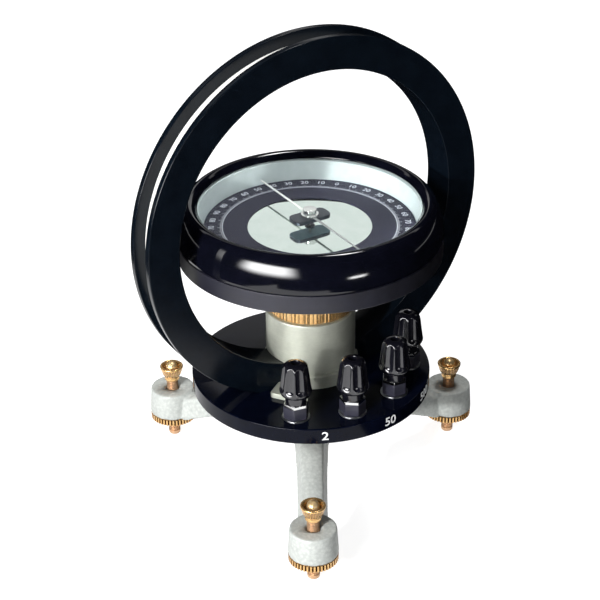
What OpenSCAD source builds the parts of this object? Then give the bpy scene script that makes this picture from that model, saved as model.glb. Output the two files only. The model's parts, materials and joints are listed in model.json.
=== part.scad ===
// Tangent galvanometer: a coil ring stands in a turning base disc, with a compass box on a pillar
// at the ring's centre, four terminals for the coil's taps and a tripod on levelling feet.
// Millimetres. The origin is on the turning axis at table level, +Z is up, the front foot is at -Y.

/* [Coil ring] */
// Outer diameter of the coil former's flanges
ring_d = 190; // [184:1:196]
// Radial depth of the coil former, from its bore out to its rim
ring_depth = 17; // [17:0.1:20]
// Width of the coil former over both flanges
ring_w = 18.6; // [16:0.2:21]
// Thickness of each flange
flange_t = 3.4; // [2:0.1:4.4]
// Wall of the core tube that the wire is wound on
core_t = 2; // [1.5:0.1:3]
// Thickness of the tape that covers the windings
cover_t = 1; // [0.6:0.1:1.2]
// Depth of the channel from the flange edges down to the tape
channel_deep = 6; // [5:0.1:6.2]
// Depth of the 500 turn winding
fine_depth = 3.8; // [2.6:0.1:4]
// Depth of the 50 turn winding
middle_depth = 2.2; // [1.2:0.1:2.4]
// Depth of the 2 turn winding
thick_depth = 1.4; // [0.8:0.1:1.6]
// Angle of the coil's plane from the X axis
ring_turn = 31.5; // [28:0.5:36]

/* [Base disc] */
// Diameter of the base disc
disc_d = 123.4; // [120:0.2:132]
// Thickness of the base disc
disc_t = 8.6; // [7:0.2:11]
// Chamfer on the rim of the disc
disc_edge = 0.6; // [0.3:0.1:1.5]
// Thickness of the disc that is left under the ring
ring_floor = 1; // [0.6:0.1:2]

/* [Tripod casting] */
// Height of the casting's underside above the table
stand_h = 15.6; // [13:0.2:20]
// Height of the casting from its underside to the top of its hub
tripod_h = 41.6; // [40:0.2:48]
// Radius of the circle on which the feet stand
foot_r = 88; // [82:1:96]
// Diameter of the bosses at the arm ends
boss_d = 25.4; // [24:0.2:29]
// Height of the bosses
boss_h = 14.5; // [12:0.5:18]
// Diameter that each boss loses towards its top
boss_taper = 1.8; // [0.6:0.2:2.6]
// Hole through each boss
boss_hole_d = 7.4; // [7.2:0.1:9]
// Width of an arm at the foot of its boss
arm_w = 13.4; // [12:0.2:16]
// Height of an arm at its boss
arm_h = 12.8; // [10:0.2:13.4]
// Angle by which each side of an arm opens towards the hub
arm_taper = 5.1; // [3.5:0.1:6.5]
// Angle by which each side of an arm leans in towards its top
arm_draft = 11.4; // [9:0.2:13]
// Diameter of the hub
hub_d = 42; // [34:1:46]
// Height of the hub
hub_h = 24; // [20:0.5:27]
// Outer diameter of the bush in the hub
bush_d = 18; // [15:0.5:22]

/* [Levelling feet] */
// Diameter of the levelling screws
screw_d = 6.4; // [5.6:0.1:6.8]
// Height of the screw's tapered tip
tip_h = 2.6; // [1.5:0.1:4]
// Diameter of the flat at the very tip
tip_d = 3; // [2:0.1:4]
// Bare thread between the boss and the cup
bare_h = 5.2; // [4.8:0.1:8]
// Height of the cup knob
cup_h = 8.4; // [7:0.2:10]
// Diameter of the cup's rim
cup_d = 12.4; // [11:0.2:15]
// Diameter of the cup's neck
cup_neck_d = 9; // [8.4:0.1:10]
// Depth of the cup's hollow
cup_deep = 3.8; // [2.5:0.1:5]
// Wall of the cup at its rim
cup_wall = 1.2; // [0.8:0.1:1.6]
// Depth of the centre of the screw's dome below the cup's rim
dome_drop = 1; // [0.4:0.1:2]
// Diameter of the knurled wheels
wheel_d = 25; // [23:0.2:28]
// Thickness of the knurled wheels
wheel_t = 4; // [3:0.2:6]
// Number of teeth on a wheel
wheel_teeth = 44; // [36:1:52]
// Depth of the wheel's teeth
wheel_tooth = 0.8; // [0.4:0.1:1.1]

/* [Turning spindle] */
// Diameter of the spindle
spindle_d = 12; // [10:0.5:13]
// Diameter of the plate that carries the base disc
plate_d = 50; // [48:0.5:50.5]
// Thickness of that plate
plate_t = 3; // [2:0.2:5]
// Thickness of the washer that the plate turns on
thrust_t = 0.8; // [0.5:0.1:1.5]
// Diameter of the washer that the plate turns on
thrust_d = 32; // [26:1:33]
// Diameter of the spindle's threaded end
spindle_end_d = 8; // [6:0.5:9]
// Thickness of the washer under the hub
under_washer_t = 1.5; // [1:0.1:2.5]
// Diameter of the washer under the hub
under_washer_d = 20; // [19:0.5:24]
// Width across flats of the spindle nut
spindle_nut_af = 13; // [12:0.5:17]
// Thickness of the spindle nut
spindle_nut_t = 6; // [4:0.5:8]
// Radius of the circle of screws in the plate
plate_screw_r = 21; // [20:0.5:22]
// Length of those screws above the plate
plate_screw_l = 4; // [3:0.5:5]

/* [Pillar] */
// Diameter of the pillar
pillar_d = 46; // [42:0.5:50]
// Height of the pillar above the base disc
pillar_h = 36; // [33:0.5:40]
// Diameter of the step at the pillar's foot
step_d = 49; // [47:0.5:52]
// Height of the step at the pillar's foot
step_h = 7; // [4:0.5:10]
// Radius that the fixing lugs reach
lug_reach = 37; // [35:0.5:40]
// Width of a fixing lug
lug_w = 14; // [10:0.5:16]
// Thickness of a fixing lug
lug_t = 2.6; // [2:0.2:4]
// Angle of the lugs from the coil's axis
lug_angle = 55; // [50:1:58]
// Radius of the circle of lug screws
lug_screw_r = 30.5; // [29:0.5:31.5]
// Length of the lug screws below the lug
lug_screw_l = 5; // [3:0.5:5.5]
// Diameter of the compass box's spigot in the pillar
spigot_d = 24; // [18:0.5:26]
// Length of that spigot
spigot_l = 17; // [12:0.5:18]

/* [Small screws] */
// Diameter of the small screws
small_d = 3; // [2.5:0.1:3.4]
// Head diameter of the small screws
small_head_d = 5.6; // [5:0.1:6]
// Head height of the small screws
small_head_h = 1.6; // [1.2:0.1:2]

/* [Clamp collar] */
// Diameter of the knurled clamp collar
collar_d = 43.6; // [40:0.2:46]
// Height of the clamp collar
collar_h = 8; // [6:0.5:11]
// Number of teeth on the collar
collar_teeth = 72; // [60:1:84]
// Depth of the collar's teeth
collar_tooth = 0.5; // [0.3:0.1:0.8]

/* [Terminals] */
// Share of the disc's radius at which the terminals stand
term_share = 0.81; // [0.8:0.001:0.85]
// Angle of the first terminal
term_first = -99; // [-102:1:-97]
// Angle from one terminal to the next
term_step = 33; // [30:0.5:34]
// Diameter of the bright washer under each terminal
term_washer_d = 15; // [14.6:0.2:18]
// Thickness of that washer
term_washer_t = 0.7; // [0.4:0.1:1.2]
// Width across flats of the insulating collar
term_collar_af = 11.8; // [10:0.2:12.6]
// Height of the insulating collar
term_collar_h = 6.5; // [5:0.1:8]
// Width across flats of the bright clamp plate
clamp_af = 11.2; // [10:0.2:12.6]
// Thickness of the clamp plate
clamp_t = 1.6; // [0.8:0.1:2]
// Largest diameter of a terminal knob
knob_d = 16.2; // [14.6:0.2:17]
// Diameter of a knob at the shoulder under its dome
knob_top_d = 13; // [11.6:0.2:14]
// Diameter of a knob's neck
knob_neck_d = 10.8; // [9.6:0.2:11.8]
// Height of a knob's neck
knob_neck_h = 4.2; // [3:0.1:5]
// Height of a knob above its neck
knob_h = 18; // [16:0.5:20]
// Number of flutes round a knob
knob_flutes = 9; // [7:1:10]
// Width of a flute
flute_w = 5; // [4:0.1:5.2]
// Depth of a flute
flute_deep = 0.9; // [0.5:0.1:1.2]
// Angle of the ridges between the flutes, the same on every knob
ridge_first = -94; // [-114:1:-74]
// Diameter of the terminal studs
stud_d = 4; // [3.4:0.1:5]
// Length of the stud inside a closed knob
stud_grip = 9; // [7:0.5:9.5]
// Diameter of the plug socket in a knob's top
socket_d = 4.1; // [3.8:0.1:5]
// Depth of the plug socket
socket_deep = 9; // [6:0.5:9.5]
// Thickness of the solder tags
tag_t = 0.8; // [0.5:0.1:1.2]
// Diameter of a solder tag's eye
tag_d = 9; // [7.6:0.2:10]
// Length of a solder tag's tail from its eye's centre
tag_l = 10; // [7:0.5:12]
// Width of a solder tag's tail
tag_w = 3; // [2:0.2:4]
// Width across flats of the stud nuts
stud_nut_af = 7; // [6.6:0.2:9]
// Thickness of the stud nuts
stud_nut_t = 3.2; // [2.4:0.2:4]
// Diameter of the coil's lead wires
lead_d = 1.6; // [1:0.1:2]
// Distance of the inner lead holes from the axis along the slot
lead_reach = 28.5; // [28:0.5:30]
// Distance between two lead holes
lead_pitch = 4; // [3.4:0.2:5]

/* [Compass box] */
// Room between the coil former's bore and the compass box
box_room = 11.2; // [9:0.2:14]
// Height of the bowl's plain band
band_h = 10; // [8:0.5:13]
// Thickness of the bowl's floor
floor_t = 3; // [2:0.2:5]
// Wall of the bowl
bowl_wall = 11.8; // [10.4:0.1:13]
// How far the dial lies below the coil's centre
dial_drop = 6.2; // [5.5:0.1:8]
// How far the dial's edge lies inside the bezel's opening
dial_inset = 2.7; // [2.4:0.1:4]
// Thickness of the dial ring
dial_t = 1.6; // [1:0.1:2.5]
// Thickness of the plate under the dial and mirror
bed_t = 2; // [1.2:0.1:3]
// Width of the dial's painted ring, from the mirror out to the dial's edge
scale_w = 21.8; // [18:0.2:25]
// Thickness of the mirror
mirror_t = 1.2; // [0.8:0.1:2]
// Width of the bezel's sloping lip from its crown in to its opening
lip_w = 6.3; // [5.7:0.1:7.3]
// Thickness of the bezel's lip at its opening, over the glass
lip_t = 0.4; // [0.3:0.1:1.5]
// Wall of the bezel's skirt
skirt_t = 9; // [8.2:0.1:9.6]
// Height of the bezel from the bowl to its crown
bezel_h = 18.3; // [17.5:0.1:21]
// Width of the bezel's roll from its side in to its crown
roll_w = 4.8; // [3.8:0.1:5.8]
// Thickness of the cover glass
glass_t = 1.6; // [1:0.1:2.4]
// Lean of the pale inner wall, as the radius it gains to the top
wall_lean = 2; // [1:0.1:2.2]

/* [Compass stem] */
// Diameter of the stem's neck
stem_d = 30; // [27:0.5:34]
// Diameter of the flange under the bowl
stem_flange_d = 52; // [48:1:60]
// Thickness of the flange under the bowl
stem_flange_t = 4; // [3:0.2:6]
// Radius of the circle of screws in the flange
stem_screw_r = 20.5; // [20:0.5:21]

/* [Needle] */
// Length of the magnet
magnet_l = 20.5; // [18:0.5:26]
// Width of the magnet
magnet_w = 10; // [9:0.5:13]
// Thickness of the magnet
magnet_t = 2; // [1.5:0.1:2.5]
// Corner cut at the magnet's ends
magnet_cut = 3; // [2:0.1:4]
// Gap between the dial and the magnet
needle_gap = 3.4; // [2.6:0.1:3.8]
// How far the pointer's ends stop short of the dial's edge
pointer_short = 5.5; // [3:0.1:10]
// Width of the pointer
pointer_w = 1.4; // [1:0.1:2]
// Thickness of the pointer
pointer_t = 0.4; // [0.3:0.1:0.6]
// Diameter of the jewel cap's flange
cap_d = 9; // [7.6:0.2:10]
// Diameter of the jewel cap's top
cap_top_d = 7; // [5.6:0.2:7.4]
// Height of the jewel cap above the pointer
cap_h = 3.2; // [2.8:0.1:3.6]
// Thickness of the jewel cap's flange
cap_flange_t = 0.8; // [0.5:0.1:1.2]
// Diameter of the cap's stem through the magnet
cap_stem_d = 4.8; // [4.4:0.1:5.6]
// Diameter of the jewel
jewel_d = 3; // [2.4:0.1:3.4]
// Diameter of the hollow in the jewel
jewel_hollow_d = 2; // [1.4:0.1:2.2]
// Thickness of the jewel
jewel_t = 1; // [0.8:0.1:1.2]
// Diameter of the pivot post
post_d = 5; // [4:0.2:6]
// Diameter of the pivot post's foot
post_foot_d = 10; // [8:0.5:14]
// Diameter of the pivot pin
pin_d = 1.2; // [0.8:0.1:1.6]

/* [Fits] */
// Running clearance on a radius
run_gap = 0.05; // [0.02:0.01:0.1]
// Clearance between curved faces that don't move on each other
seat_gap = 0.1; // [0.05:0.01:0.2]
// Clearance round screws and studs in their holes
hole_gap = 0.2; // [0.1:0.05:0.4]
// Gap between flat faces that pass each other
pass_gap = 0.1; // [0.05:0.01:0.3]
// Gap between the needle's cap and the glass
glass_gap = 0.8; // [0.5:0.1:1.5]

/* [Hidden] */
$fn = 96;
over = 1;
feet = 3;
foot_first = -90;
terms = 4;
lugs = 2;
plate_screws = 4;
flange_screws = 3;
hex_sides = 6;
arc_step = 10;
black = "#17181f";
silver = "#c3c7c3";
satin = "#b3b5ad";
steel = "#8f9396";
brass = "#c08a45";
copper = "#a5552c";

// Heights, from the table upwards
boss_top = stand_h + boss_h;
hub_top = stand_h + tripod_h;
hub_foot = hub_top - hub_h;
disc_z = hub_top + thrust_t + plate_t;
disc_top = disc_z + disc_t;
ring_cz = disc_z + ring_floor + ring_d / 2;
pillar_top = disc_top + pillar_h;
dial_z = ring_cz - dial_drop;
bed_top = dial_z - dial_t;
box_rim = bed_top - bed_t;
box_z = box_rim - band_h;
box_floor = box_z + floor_t;
magnet_z = dial_z + needle_gap;
pointer_z = magnet_z + magnet_t;
cap_z = pointer_z + pointer_t;
cap_top = cap_z + cap_h;
glass_z = cap_top + glass_gap;
lip_z = glass_z + glass_t;
crown_z = box_rim + bezel_h;
stem_flange_z = box_z - stem_flange_t;
washer_top = disc_top + term_washer_t;
term_collar_top = washer_top + term_collar_h;
clamp_top = term_collar_top + clamp_t;
knob_body_z = clamp_top + knob_neck_h;
knob_top = knob_body_z + knob_h;
jewel_z = cap_top - cap_flange_t - jewel_t;
pin_tip = jewel_z + jewel_t / 2;

// Radii that several pieces share
ring_r = ring_d / 2;
bore_r = ring_r - ring_depth;
core_r = bore_r + core_t;
wire_w = ring_w - 2 * flange_t;
fine_r = core_r + seat_gap + fine_depth;
middle_r = fine_r + seat_gap + middle_depth;
thick_r = middle_r + seat_gap + thick_depth;
cover_r = ring_r - channel_deep;
box_d = 2 * (bore_r - box_room);
crown_r = box_d / 2 - roll_w;
lip_r = crown_r - lip_w;
skirt_r = box_d / 2 - skirt_t;
glass_r = skirt_r - seat_gap;
dial_r = lip_r - dial_inset;
mirror_r = dial_r - scale_w;
bowl_r = box_d / 2 - bowl_wall;
pointer_l = 2 * (dial_r - pointer_short);
term_r = term_share * disc_d / 2;
stud_hole_r = stud_d / 2 + run_gap;
axis_turn = ring_turn - 90;

// Places and shapes that repeat
module at_polar(r, angle) rotate([0, 0, angle]) translate([r, 0, 0]) children();
module at_foot(k) at_polar(foot_r, foot_first + (k - 1) * 360 / feet) children();
module at_terminal(k) at_polar(term_r, term_first + (k - 1) * term_step) children();
module at_plate_screw(k) at_polar(plate_screw_r, axis_turn + (2 * k - 1) * 180 / plate_screws) children();
module at_flange_screw(k) at_polar(stem_screw_r, k * 360 / flange_screws) children();
module at_lug(k) rotate([0, 0, axis_turn - lug_angle + (k - 1) * 360 / lugs]) children();
module in_ring() translate([0, 0, ring_cz]) rotate([0, 0, ring_turn]) rotate([90, 0, 0]) children();
module round_bar(r, low, high) translate([0, 0, low]) cylinder(r = r, h = high - low);
module hex_bar(across, low, high)
    translate([0, 0, low]) cylinder(r = across / 2 / cos(180 / hex_sides), h = high - low, $fn = hex_sides);
module band(inner, outer, width) difference() {
    cylinder(r = outer, h = width, center = true);
    cylinder(r = inner, h = width + over, center = true);
}
module toothed(r, depth, teeth, low, high)
    translate([0, 0, low]) linear_extrude(high - low)
        polygon([for (i = [0 : 2 * teeth - 1])
            (r - (i % 2) * depth) * [cos(i * 180 / teeth), sin(i * 180 / teeth)]]);
module ring_space(gap) difference() {
    in_ring() cylinder(r = ring_r + gap, h = ring_w + 2 * gap, center = true);
    in_ring() cylinder(r = bore_r - gap, h = ring_w + over, center = true);
}

// Tripod casting with its three arms and bosses
module arm_side()
    translate([foot_r, arm_w / 2, stand_h]) rotate([0, 0, -arm_taper]) rotate([arm_draft, 0, 0])
        translate([-2 * foot_r, 0, -foot_r]) cube([4 * foot_r, foot_r, 3 * foot_r]);
module arm() {
    boss_in = foot_r - boss_d / 2;
    hub_r = hub_d / 2;
    difference() {
        rotate([90, 0, 0]) linear_extrude(2 * hub_d, center = true) polygon([
            [hub_r / 2, hub_foot], [hub_r, hub_foot], [boss_in, stand_h], [foot_r, stand_h],
            [foot_r, stand_h + arm_h], [boss_in, stand_h + arm_h],
            [hub_r, hub_foot + arm_h], [hub_r / 2, hub_foot + arm_h]]);
        arm_side();
        mirror([0, 1, 0]) arm_side();
    }
}
module tripod() color(silver) difference() {
    union() {
        round_bar(hub_d / 2, hub_foot, hub_top);
        for (k = [1 : feet]) {
            rotate([0, 0, foot_first + (k - 1) * 360 / feet]) arm();
            at_foot(k) translate([0, 0, stand_h])
                cylinder(d1 = boss_d, d2 = boss_d - boss_taper, h = boss_h);
        }
    }
    round_bar(bush_d / 2, hub_foot - over, hub_top + over);
    for (k = [1 : feet]) at_foot(k) round_bar(boss_hole_d / 2, stand_h - over, boss_top + over);
}
module spindle_bush() color(brass) difference() {
    round_bar(bush_d / 2 - run_gap, hub_foot, hub_top);
    round_bar(spindle_d / 2 + run_gap, hub_foot - over, hub_top + over);
}
module thrust_washer() color("#6b4a33") difference() {
    round_bar(thrust_d / 2, hub_top, hub_top + thrust_t);
    round_bar(spindle_d / 2 + hole_gap, hub_top - over, hub_top + thrust_t + over);
}

// Levelling feet
module foot_screw(k) {
    cup_z = boss_top + bare_h;
    screw_r = screw_d / 2;
    end_z = cup_z + cup_h - dome_drop;
    color(brass) at_foot(k) rotate_extrude() polygon(concat(
        [[0, 0], [tip_d / 2, 0], [screw_r, tip_h], [screw_r, end_z]],
        [for (a = [arc_step : arc_step : 90]) [screw_r * cos(a), end_z + screw_r * sin(a)]]));
}
module foot_cup(k) {
    cup_z = boss_top + bare_h;
    hollow_z = cup_z + cup_h - cup_deep;
    rim_z = cup_z + cup_h;
    waist_z = cup_z + cup_h / 2;
    neck_r = cup_neck_d / 2;
    rim_r = cup_d / 2;
    inner_r = screw_d / 2 + run_gap;
    color(brass) at_foot(k) rotate_extrude() polygon([
        [inner_r, cup_z], [neck_r, cup_z], [neck_r, waist_z], [rim_r, rim_z - cup_wall], [rim_r, rim_z],
        [rim_r - cup_wall, rim_z], [(rim_r + inner_r) / 2, hollow_z + cup_wall], [inner_r, hollow_z]]);
}
module foot_wheel(k) color(brass) at_foot(k) difference() {
    toothed(wheel_d / 2, wheel_tooth, wheel_teeth, stand_h - pass_gap - wheel_t, stand_h - pass_gap);
    round_bar(screw_d / 2 + run_gap, stand_h - pass_gap - wheel_t - over, stand_h + over);
}

// Base disc and the spindle that it turns on
module base_disc() color(black) difference() {
    disc_r = disc_d / 2;
    rotate_extrude() polygon([
        [0, disc_z], [disc_r - disc_edge, disc_z], [disc_r, disc_z + disc_edge],
        [disc_r, disc_top - disc_edge], [disc_r - disc_edge, disc_top], [0, disc_top]]);
    in_ring() cylinder(r = ring_r + seat_gap, h = ring_w + 2 * seat_gap, center = true);
    for (k = [1 : terms]) {
        at_terminal(k) round_bar(stud_d / 2 + hole_gap, disc_z - over, disc_top + over);
        at_lead_hole(k) round_bar(lead_d / 2 + hole_gap, disc_z - over, disc_top);
    }
    for (k = [1 : lugs]) at_lug(k) translate([lug_screw_r, 0, 0])
        round_bar(small_d / 2 + run_gap, disc_top - lug_screw_l - pass_gap, disc_top + over);
    for (k = [1 : plate_screws]) at_plate_screw(k)
        round_bar(small_d / 2 + run_gap, disc_z - over, disc_z + plate_screw_l + pass_gap);
}
module spindle() {
    plate_z = disc_z - plate_t;
    end_z = hub_foot - pass_gap;
    tail_z = end_z - under_washer_t - spindle_nut_t - over;
    color(steel) difference() {
        union() {
            round_bar(plate_d / 2, plate_z, disc_z);
            round_bar(spindle_d / 2, end_z, plate_z + over);
            round_bar(spindle_end_d / 2, tail_z, end_z + over);
        }
        for (k = [1 : plate_screws]) at_plate_screw(k) {
            round_bar(small_d / 2 + hole_gap, plate_z - over, disc_z + over);
            translate([0, 0, plate_z - run_gap])
                cylinder(d1 = small_head_d, d2 = small_d, h = small_head_h);
        }
    }
}
module spindle_screws() color(steel) for (k = [1 : plate_screws]) at_plate_screw(k) {
    plate_z = disc_z - plate_t;
    head_r = small_head_d / 2 - seat_gap;
    rotate_extrude() polygon([
        [0, plate_z], [head_r, plate_z], [small_d / 2 - seat_gap, plate_z + small_head_h],
        [small_d / 2 - seat_gap, disc_z], [small_d / 2, disc_z], [small_d / 2, disc_z + plate_screw_l],
        [0, disc_z + plate_screw_l]]);
}
module spindle_washer() color(steel) difference() {
    top_z = hub_foot - pass_gap;
    round_bar(under_washer_d / 2, top_z - under_washer_t, top_z);
    round_bar(spindle_end_d / 2 + run_gap, top_z - under_washer_t - over, top_z + over);
}
module spindle_nut() color(brass) difference() {
    top_z = hub_foot - pass_gap - under_washer_t;
    hex_bar(spindle_nut_af, top_z - spindle_nut_t, top_z);
    round_bar(spindle_end_d / 2 + run_gap, top_z - spindle_nut_t - over, top_z + over);
}

// Coil former, windings and cover
module coil_former() color(black) in_ring() {
    band(bore_r, core_r, ring_w);
    for (side = [-1, 1]) translate([0, 0, side * (ring_w - flange_t) / 2])
        band(bore_r, ring_r, flange_t);
}
module winding_500() color(copper) in_ring() band(core_r + seat_gap, fine_r, wire_w);
module winding_50() color(copper) in_ring() band(fine_r + seat_gap, middle_r, wire_w);
module winding_2() color(copper) in_ring() band(middle_r + seat_gap, thick_r, wire_w);
module rim_cover() color("#ecebe6") in_ring() band(cover_r - cover_t, cover_r, wire_w);

// Leads from the coil to the tags under the disc
function lead_side(k) = k < 3 ? -1 : 1;
function lead_along(k) = lead_side(k) * (lead_reach + (k == 2 || k == 3 ? 0 : lead_pitch));
function term_angle(k) = term_first + (k - 1) * term_step;
function lead_start(k) = lead_along(k) * [cos(ring_turn), sin(ring_turn)];
function tag_end(k) = term_r * [cos(term_angle(k)), sin(term_angle(k))]
    + (tag_l - tag_w / 2) * [cos(tag_turn(k)), sin(tag_turn(k))];
function tag_turn(k) = let (gap = lead_start(k) - term_r * [cos(term_angle(k)), sin(term_angle(k))])
    atan2(gap.y, gap.x);
module at_lead_hole(k) rotate([0, 0, ring_turn]) translate([lead_along(k), 0, 0]) children();
module coil_leads() color(copper) for (k = [1 : terms]) {
    wire_r = lead_d / 2;
    wire_z = disc_z - tag_t - wire_r;
    top_z = ring_cz - sqrt(pow(cover_r, 2) - pow(abs(lead_along(k)) - wire_r, 2)) - seat_gap;
    run = tag_end(k) - lead_start(k);
    at_lead_hole(k) {
        round_bar(wire_r, wire_z, top_z);
        translate([0, 0, wire_z]) sphere(r = wire_r + run_gap);
    }
    translate([lead_start(k).x, lead_start(k).y, wire_z]) rotate([0, 90, atan2(run.y, run.x)])
        cylinder(r = wire_r, h = norm(run));
}

// Pillar, which straddles the ring and clamps it into the disc
module pillar() color(satin) difference() {
    lug_in = (pillar_d - lug_w) / 2;
    union() {
        round_bar(pillar_d / 2, disc_top + pass_gap, pillar_top);
        round_bar(step_d / 2, disc_top + pass_gap, disc_top + step_h);
        for (k = [1 : lugs]) at_lug(k) translate([lug_in, -lug_w / 2, disc_top])
            cube([lug_reach - lug_in, lug_w, lug_t]);
    }
    ring_space(seat_gap);
    round_bar(spigot_d / 2 + run_gap, pillar_top - spigot_l - pass_gap, pillar_top + over);
    for (k = [1 : lugs]) at_lug(k) translate([lug_screw_r, 0, 0])
        round_bar(small_d / 2 + hole_gap, disc_top - over, disc_top + lug_t + over);
}
module pillar_screws() color(steel) for (k = [1 : lugs]) at_lug(k) translate([lug_screw_r, 0, 0]) {
    head_z = disc_top + lug_t;
    round_bar(small_d / 2, disc_top - lug_screw_l, head_z);
    round_bar(small_head_d / 2, head_z, head_z + small_head_h);
}

// Terminals
module terminal_washers() color(silver) for (k = [1 : terms]) at_terminal(k) difference() {
    round_bar(term_washer_d / 2, disc_top, washer_top);
    round_bar(stud_hole_r, disc_top - over, washer_top + over);
}
module terminal_collar(k) color(black) at_terminal(k) difference() {
    hex_bar(term_collar_af, washer_top, term_collar_top);
    round_bar(stud_hole_r, washer_top - over, term_collar_top + over);
}
module terminal_studs() color(brass) for (k = [1 : terms]) at_terminal(k)
    round_bar(stud_d / 2, disc_z - tag_t - stud_nut_t - over, clamp_top + stud_grip);
module terminal_tags() color(silver) for (k = [1 : terms]) at_terminal(k)
    translate([0, 0, disc_z - tag_t]) linear_extrude(tag_t) difference() {
        union() {
            circle(d = tag_d);
            rotate(tag_turn(k) - term_angle(k)) translate([0, -tag_w / 2]) square([tag_l, tag_w]);
        }
        circle(r = stud_hole_r);
    }
module terminal_nuts() color(brass) for (k = [1 : terms]) at_terminal(k) difference() {
    hex_bar(stud_nut_af, disc_z - tag_t - stud_nut_t, disc_z - tag_t);
    round_bar(stud_hole_r, disc_z - tag_t - stud_nut_t - over, disc_z + over);
}
module clamp_plate(k) color(silver) at_terminal(k) difference() {
    hex_bar(clamp_af, term_collar_top, clamp_top);
    round_bar(stud_hole_r, term_collar_top - over, clamp_top + over);
}
module terminal_knob(k) {
    wide_r = knob_d / 2;
    neck_r = knob_neck_d / 2;
    top_r = knob_top_d / 2;
    mouth_r = socket_d / 2;
    swell = wide_r - neck_r;
    dome_h = top_r - mouth_r - run_gap;
    wide_z = knob_body_z + swell;
    dome_z = knob_top - dome_h / 2;
    flute_lean = atan2(wide_r - top_r, dome_z - wide_z);
    flute_r = (pow(flute_w / 2, 2) + pow(flute_deep, 2)) / (2 * flute_deep);
    color(black) at_terminal(k) difference() {
        rotate_extrude() polygon(concat(
            [[0, clamp_top], [neck_r, clamp_top], [neck_r, knob_body_z]],
            [for (a = [arc_step : arc_step : 90]) [neck_r + swell * sin(a), wide_z - swell * cos(a)]],
            [for (a = [0 : arc_step : 90]) [top_r - dome_h * (1 - cos(a)), dome_z + dome_h / 2 * sin(a)]],
            [[0, knob_top]]));
        for (i = [1 : knob_flutes])
            rotate([0, 0, ridge_first - term_angle(k) + (2 * i - 1) * 180 / knob_flutes])
            translate([wide_r + flute_r - flute_deep, 0, wide_z]) rotate([0, -flute_lean, 0])
                cylinder(r = flute_r, h = knob_h);
        round_bar(stud_hole_r, clamp_top - over, clamp_top + stud_grip + pass_gap);
        round_bar(mouth_r, knob_top - socket_deep, knob_top + over);
    }
}

// Compass box and what carries it
module clamp_collar() color(brass) difference() {
    low = pillar_top + pass_gap;
    toothed(collar_d / 2, collar_tooth, collar_teeth, low, low + collar_h);
    round_bar(stem_d / 2 + run_gap, low - over, low + collar_h + over);
}
module compass_stem() color(black) difference() {
    union() {
        round_bar(spigot_d / 2, pillar_top - spigot_l, pillar_top + over);
        round_bar(stem_d / 2, pillar_top, stem_flange_z + over);
        round_bar(stem_flange_d / 2, stem_flange_z, box_z);
    }
    for (k = [1 : flange_screws]) at_flange_screw(k)
        round_bar(small_d / 2 + hole_gap, stem_flange_z - over, box_z + over);
}
module stem_screws() color(steel) for (k = [1 : flange_screws]) at_flange_screw(k) {
    round_bar(small_head_d / 2, stem_flange_z - small_head_h, stem_flange_z);
    round_bar(small_d / 2, stem_flange_z, box_floor);
}
module compass_bowl() color(black) difference() {
    rotate_extrude() polygon([
        [0, box_z], [box_d / 2 - disc_edge, box_z], [box_d / 2, box_z + disc_edge], [box_d / 2, box_rim],
        [bowl_r, box_rim], [bowl_r, box_floor], [0, box_floor]]);
    for (k = [1 : flange_screws]) at_flange_screw(k)
        round_bar(small_d / 2 + run_gap, box_z - over, box_floor + over);
}
module dial_bed() color(silver) difference() {
    round_bar(glass_r, box_rim, bed_top);
    round_bar(post_d / 2 + seat_gap, box_rim - over, bed_top + over);
}
module dial_ring() color("#3a3b4c") difference() {
    round_bar(dial_r, bed_top, dial_z);
    round_bar(mirror_r + seat_gap, bed_top - over, dial_z + over);
}
module dial_mirror() color("#d9e2de") difference() {
    round_bar(mirror_r, bed_top, bed_top + mirror_t);
    round_bar(post_d / 2 + seat_gap, bed_top - over, bed_top + mirror_t + over);
}
module wall_liner() color("#c5cfd0") rotate_extrude() polygon([
    [dial_r + seat_gap, bed_top], [glass_r, bed_top], [glass_r, glass_z],
    [dial_r + seat_gap + wall_lean, glass_z]]);
module cover_glass() color("#e8f0f0", 0.3) round_bar(glass_r, glass_z, lip_z);
module bezel() {
    box_r = box_d / 2;
    roll_z = box_rim + disc_edge;
    roll_h = crown_z - roll_z;
    color(black) rotate_extrude() polygon(concat(
        [[skirt_r, box_rim], [box_r - disc_edge, box_rim]],
        [for (a = [0 : arc_step : 90]) [crown_r + roll_w * cos(a), roll_z + roll_h * sin(a)]],
        [[lip_r, lip_z + lip_t], [lip_r, lip_z], [skirt_r, lip_z]]));
}
module pivot_post() color(brass) difference() {
    union() {
        round_bar(post_foot_d / 2, box_floor, box_floor + floor_t);
        round_bar(post_d / 2, box_floor, dial_z);
    }
    round_bar(pin_d / 2 + run_gap, bed_top, dial_z + over);
}
module pivot_pin() color(steel) rotate_extrude() polygon([
    [0, bed_top], [pin_d / 2, bed_top], [pin_d / 2, jewel_z - jewel_t], [run_gap, pin_tip - run_gap],
    [0, pin_tip - run_gap]]);

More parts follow.
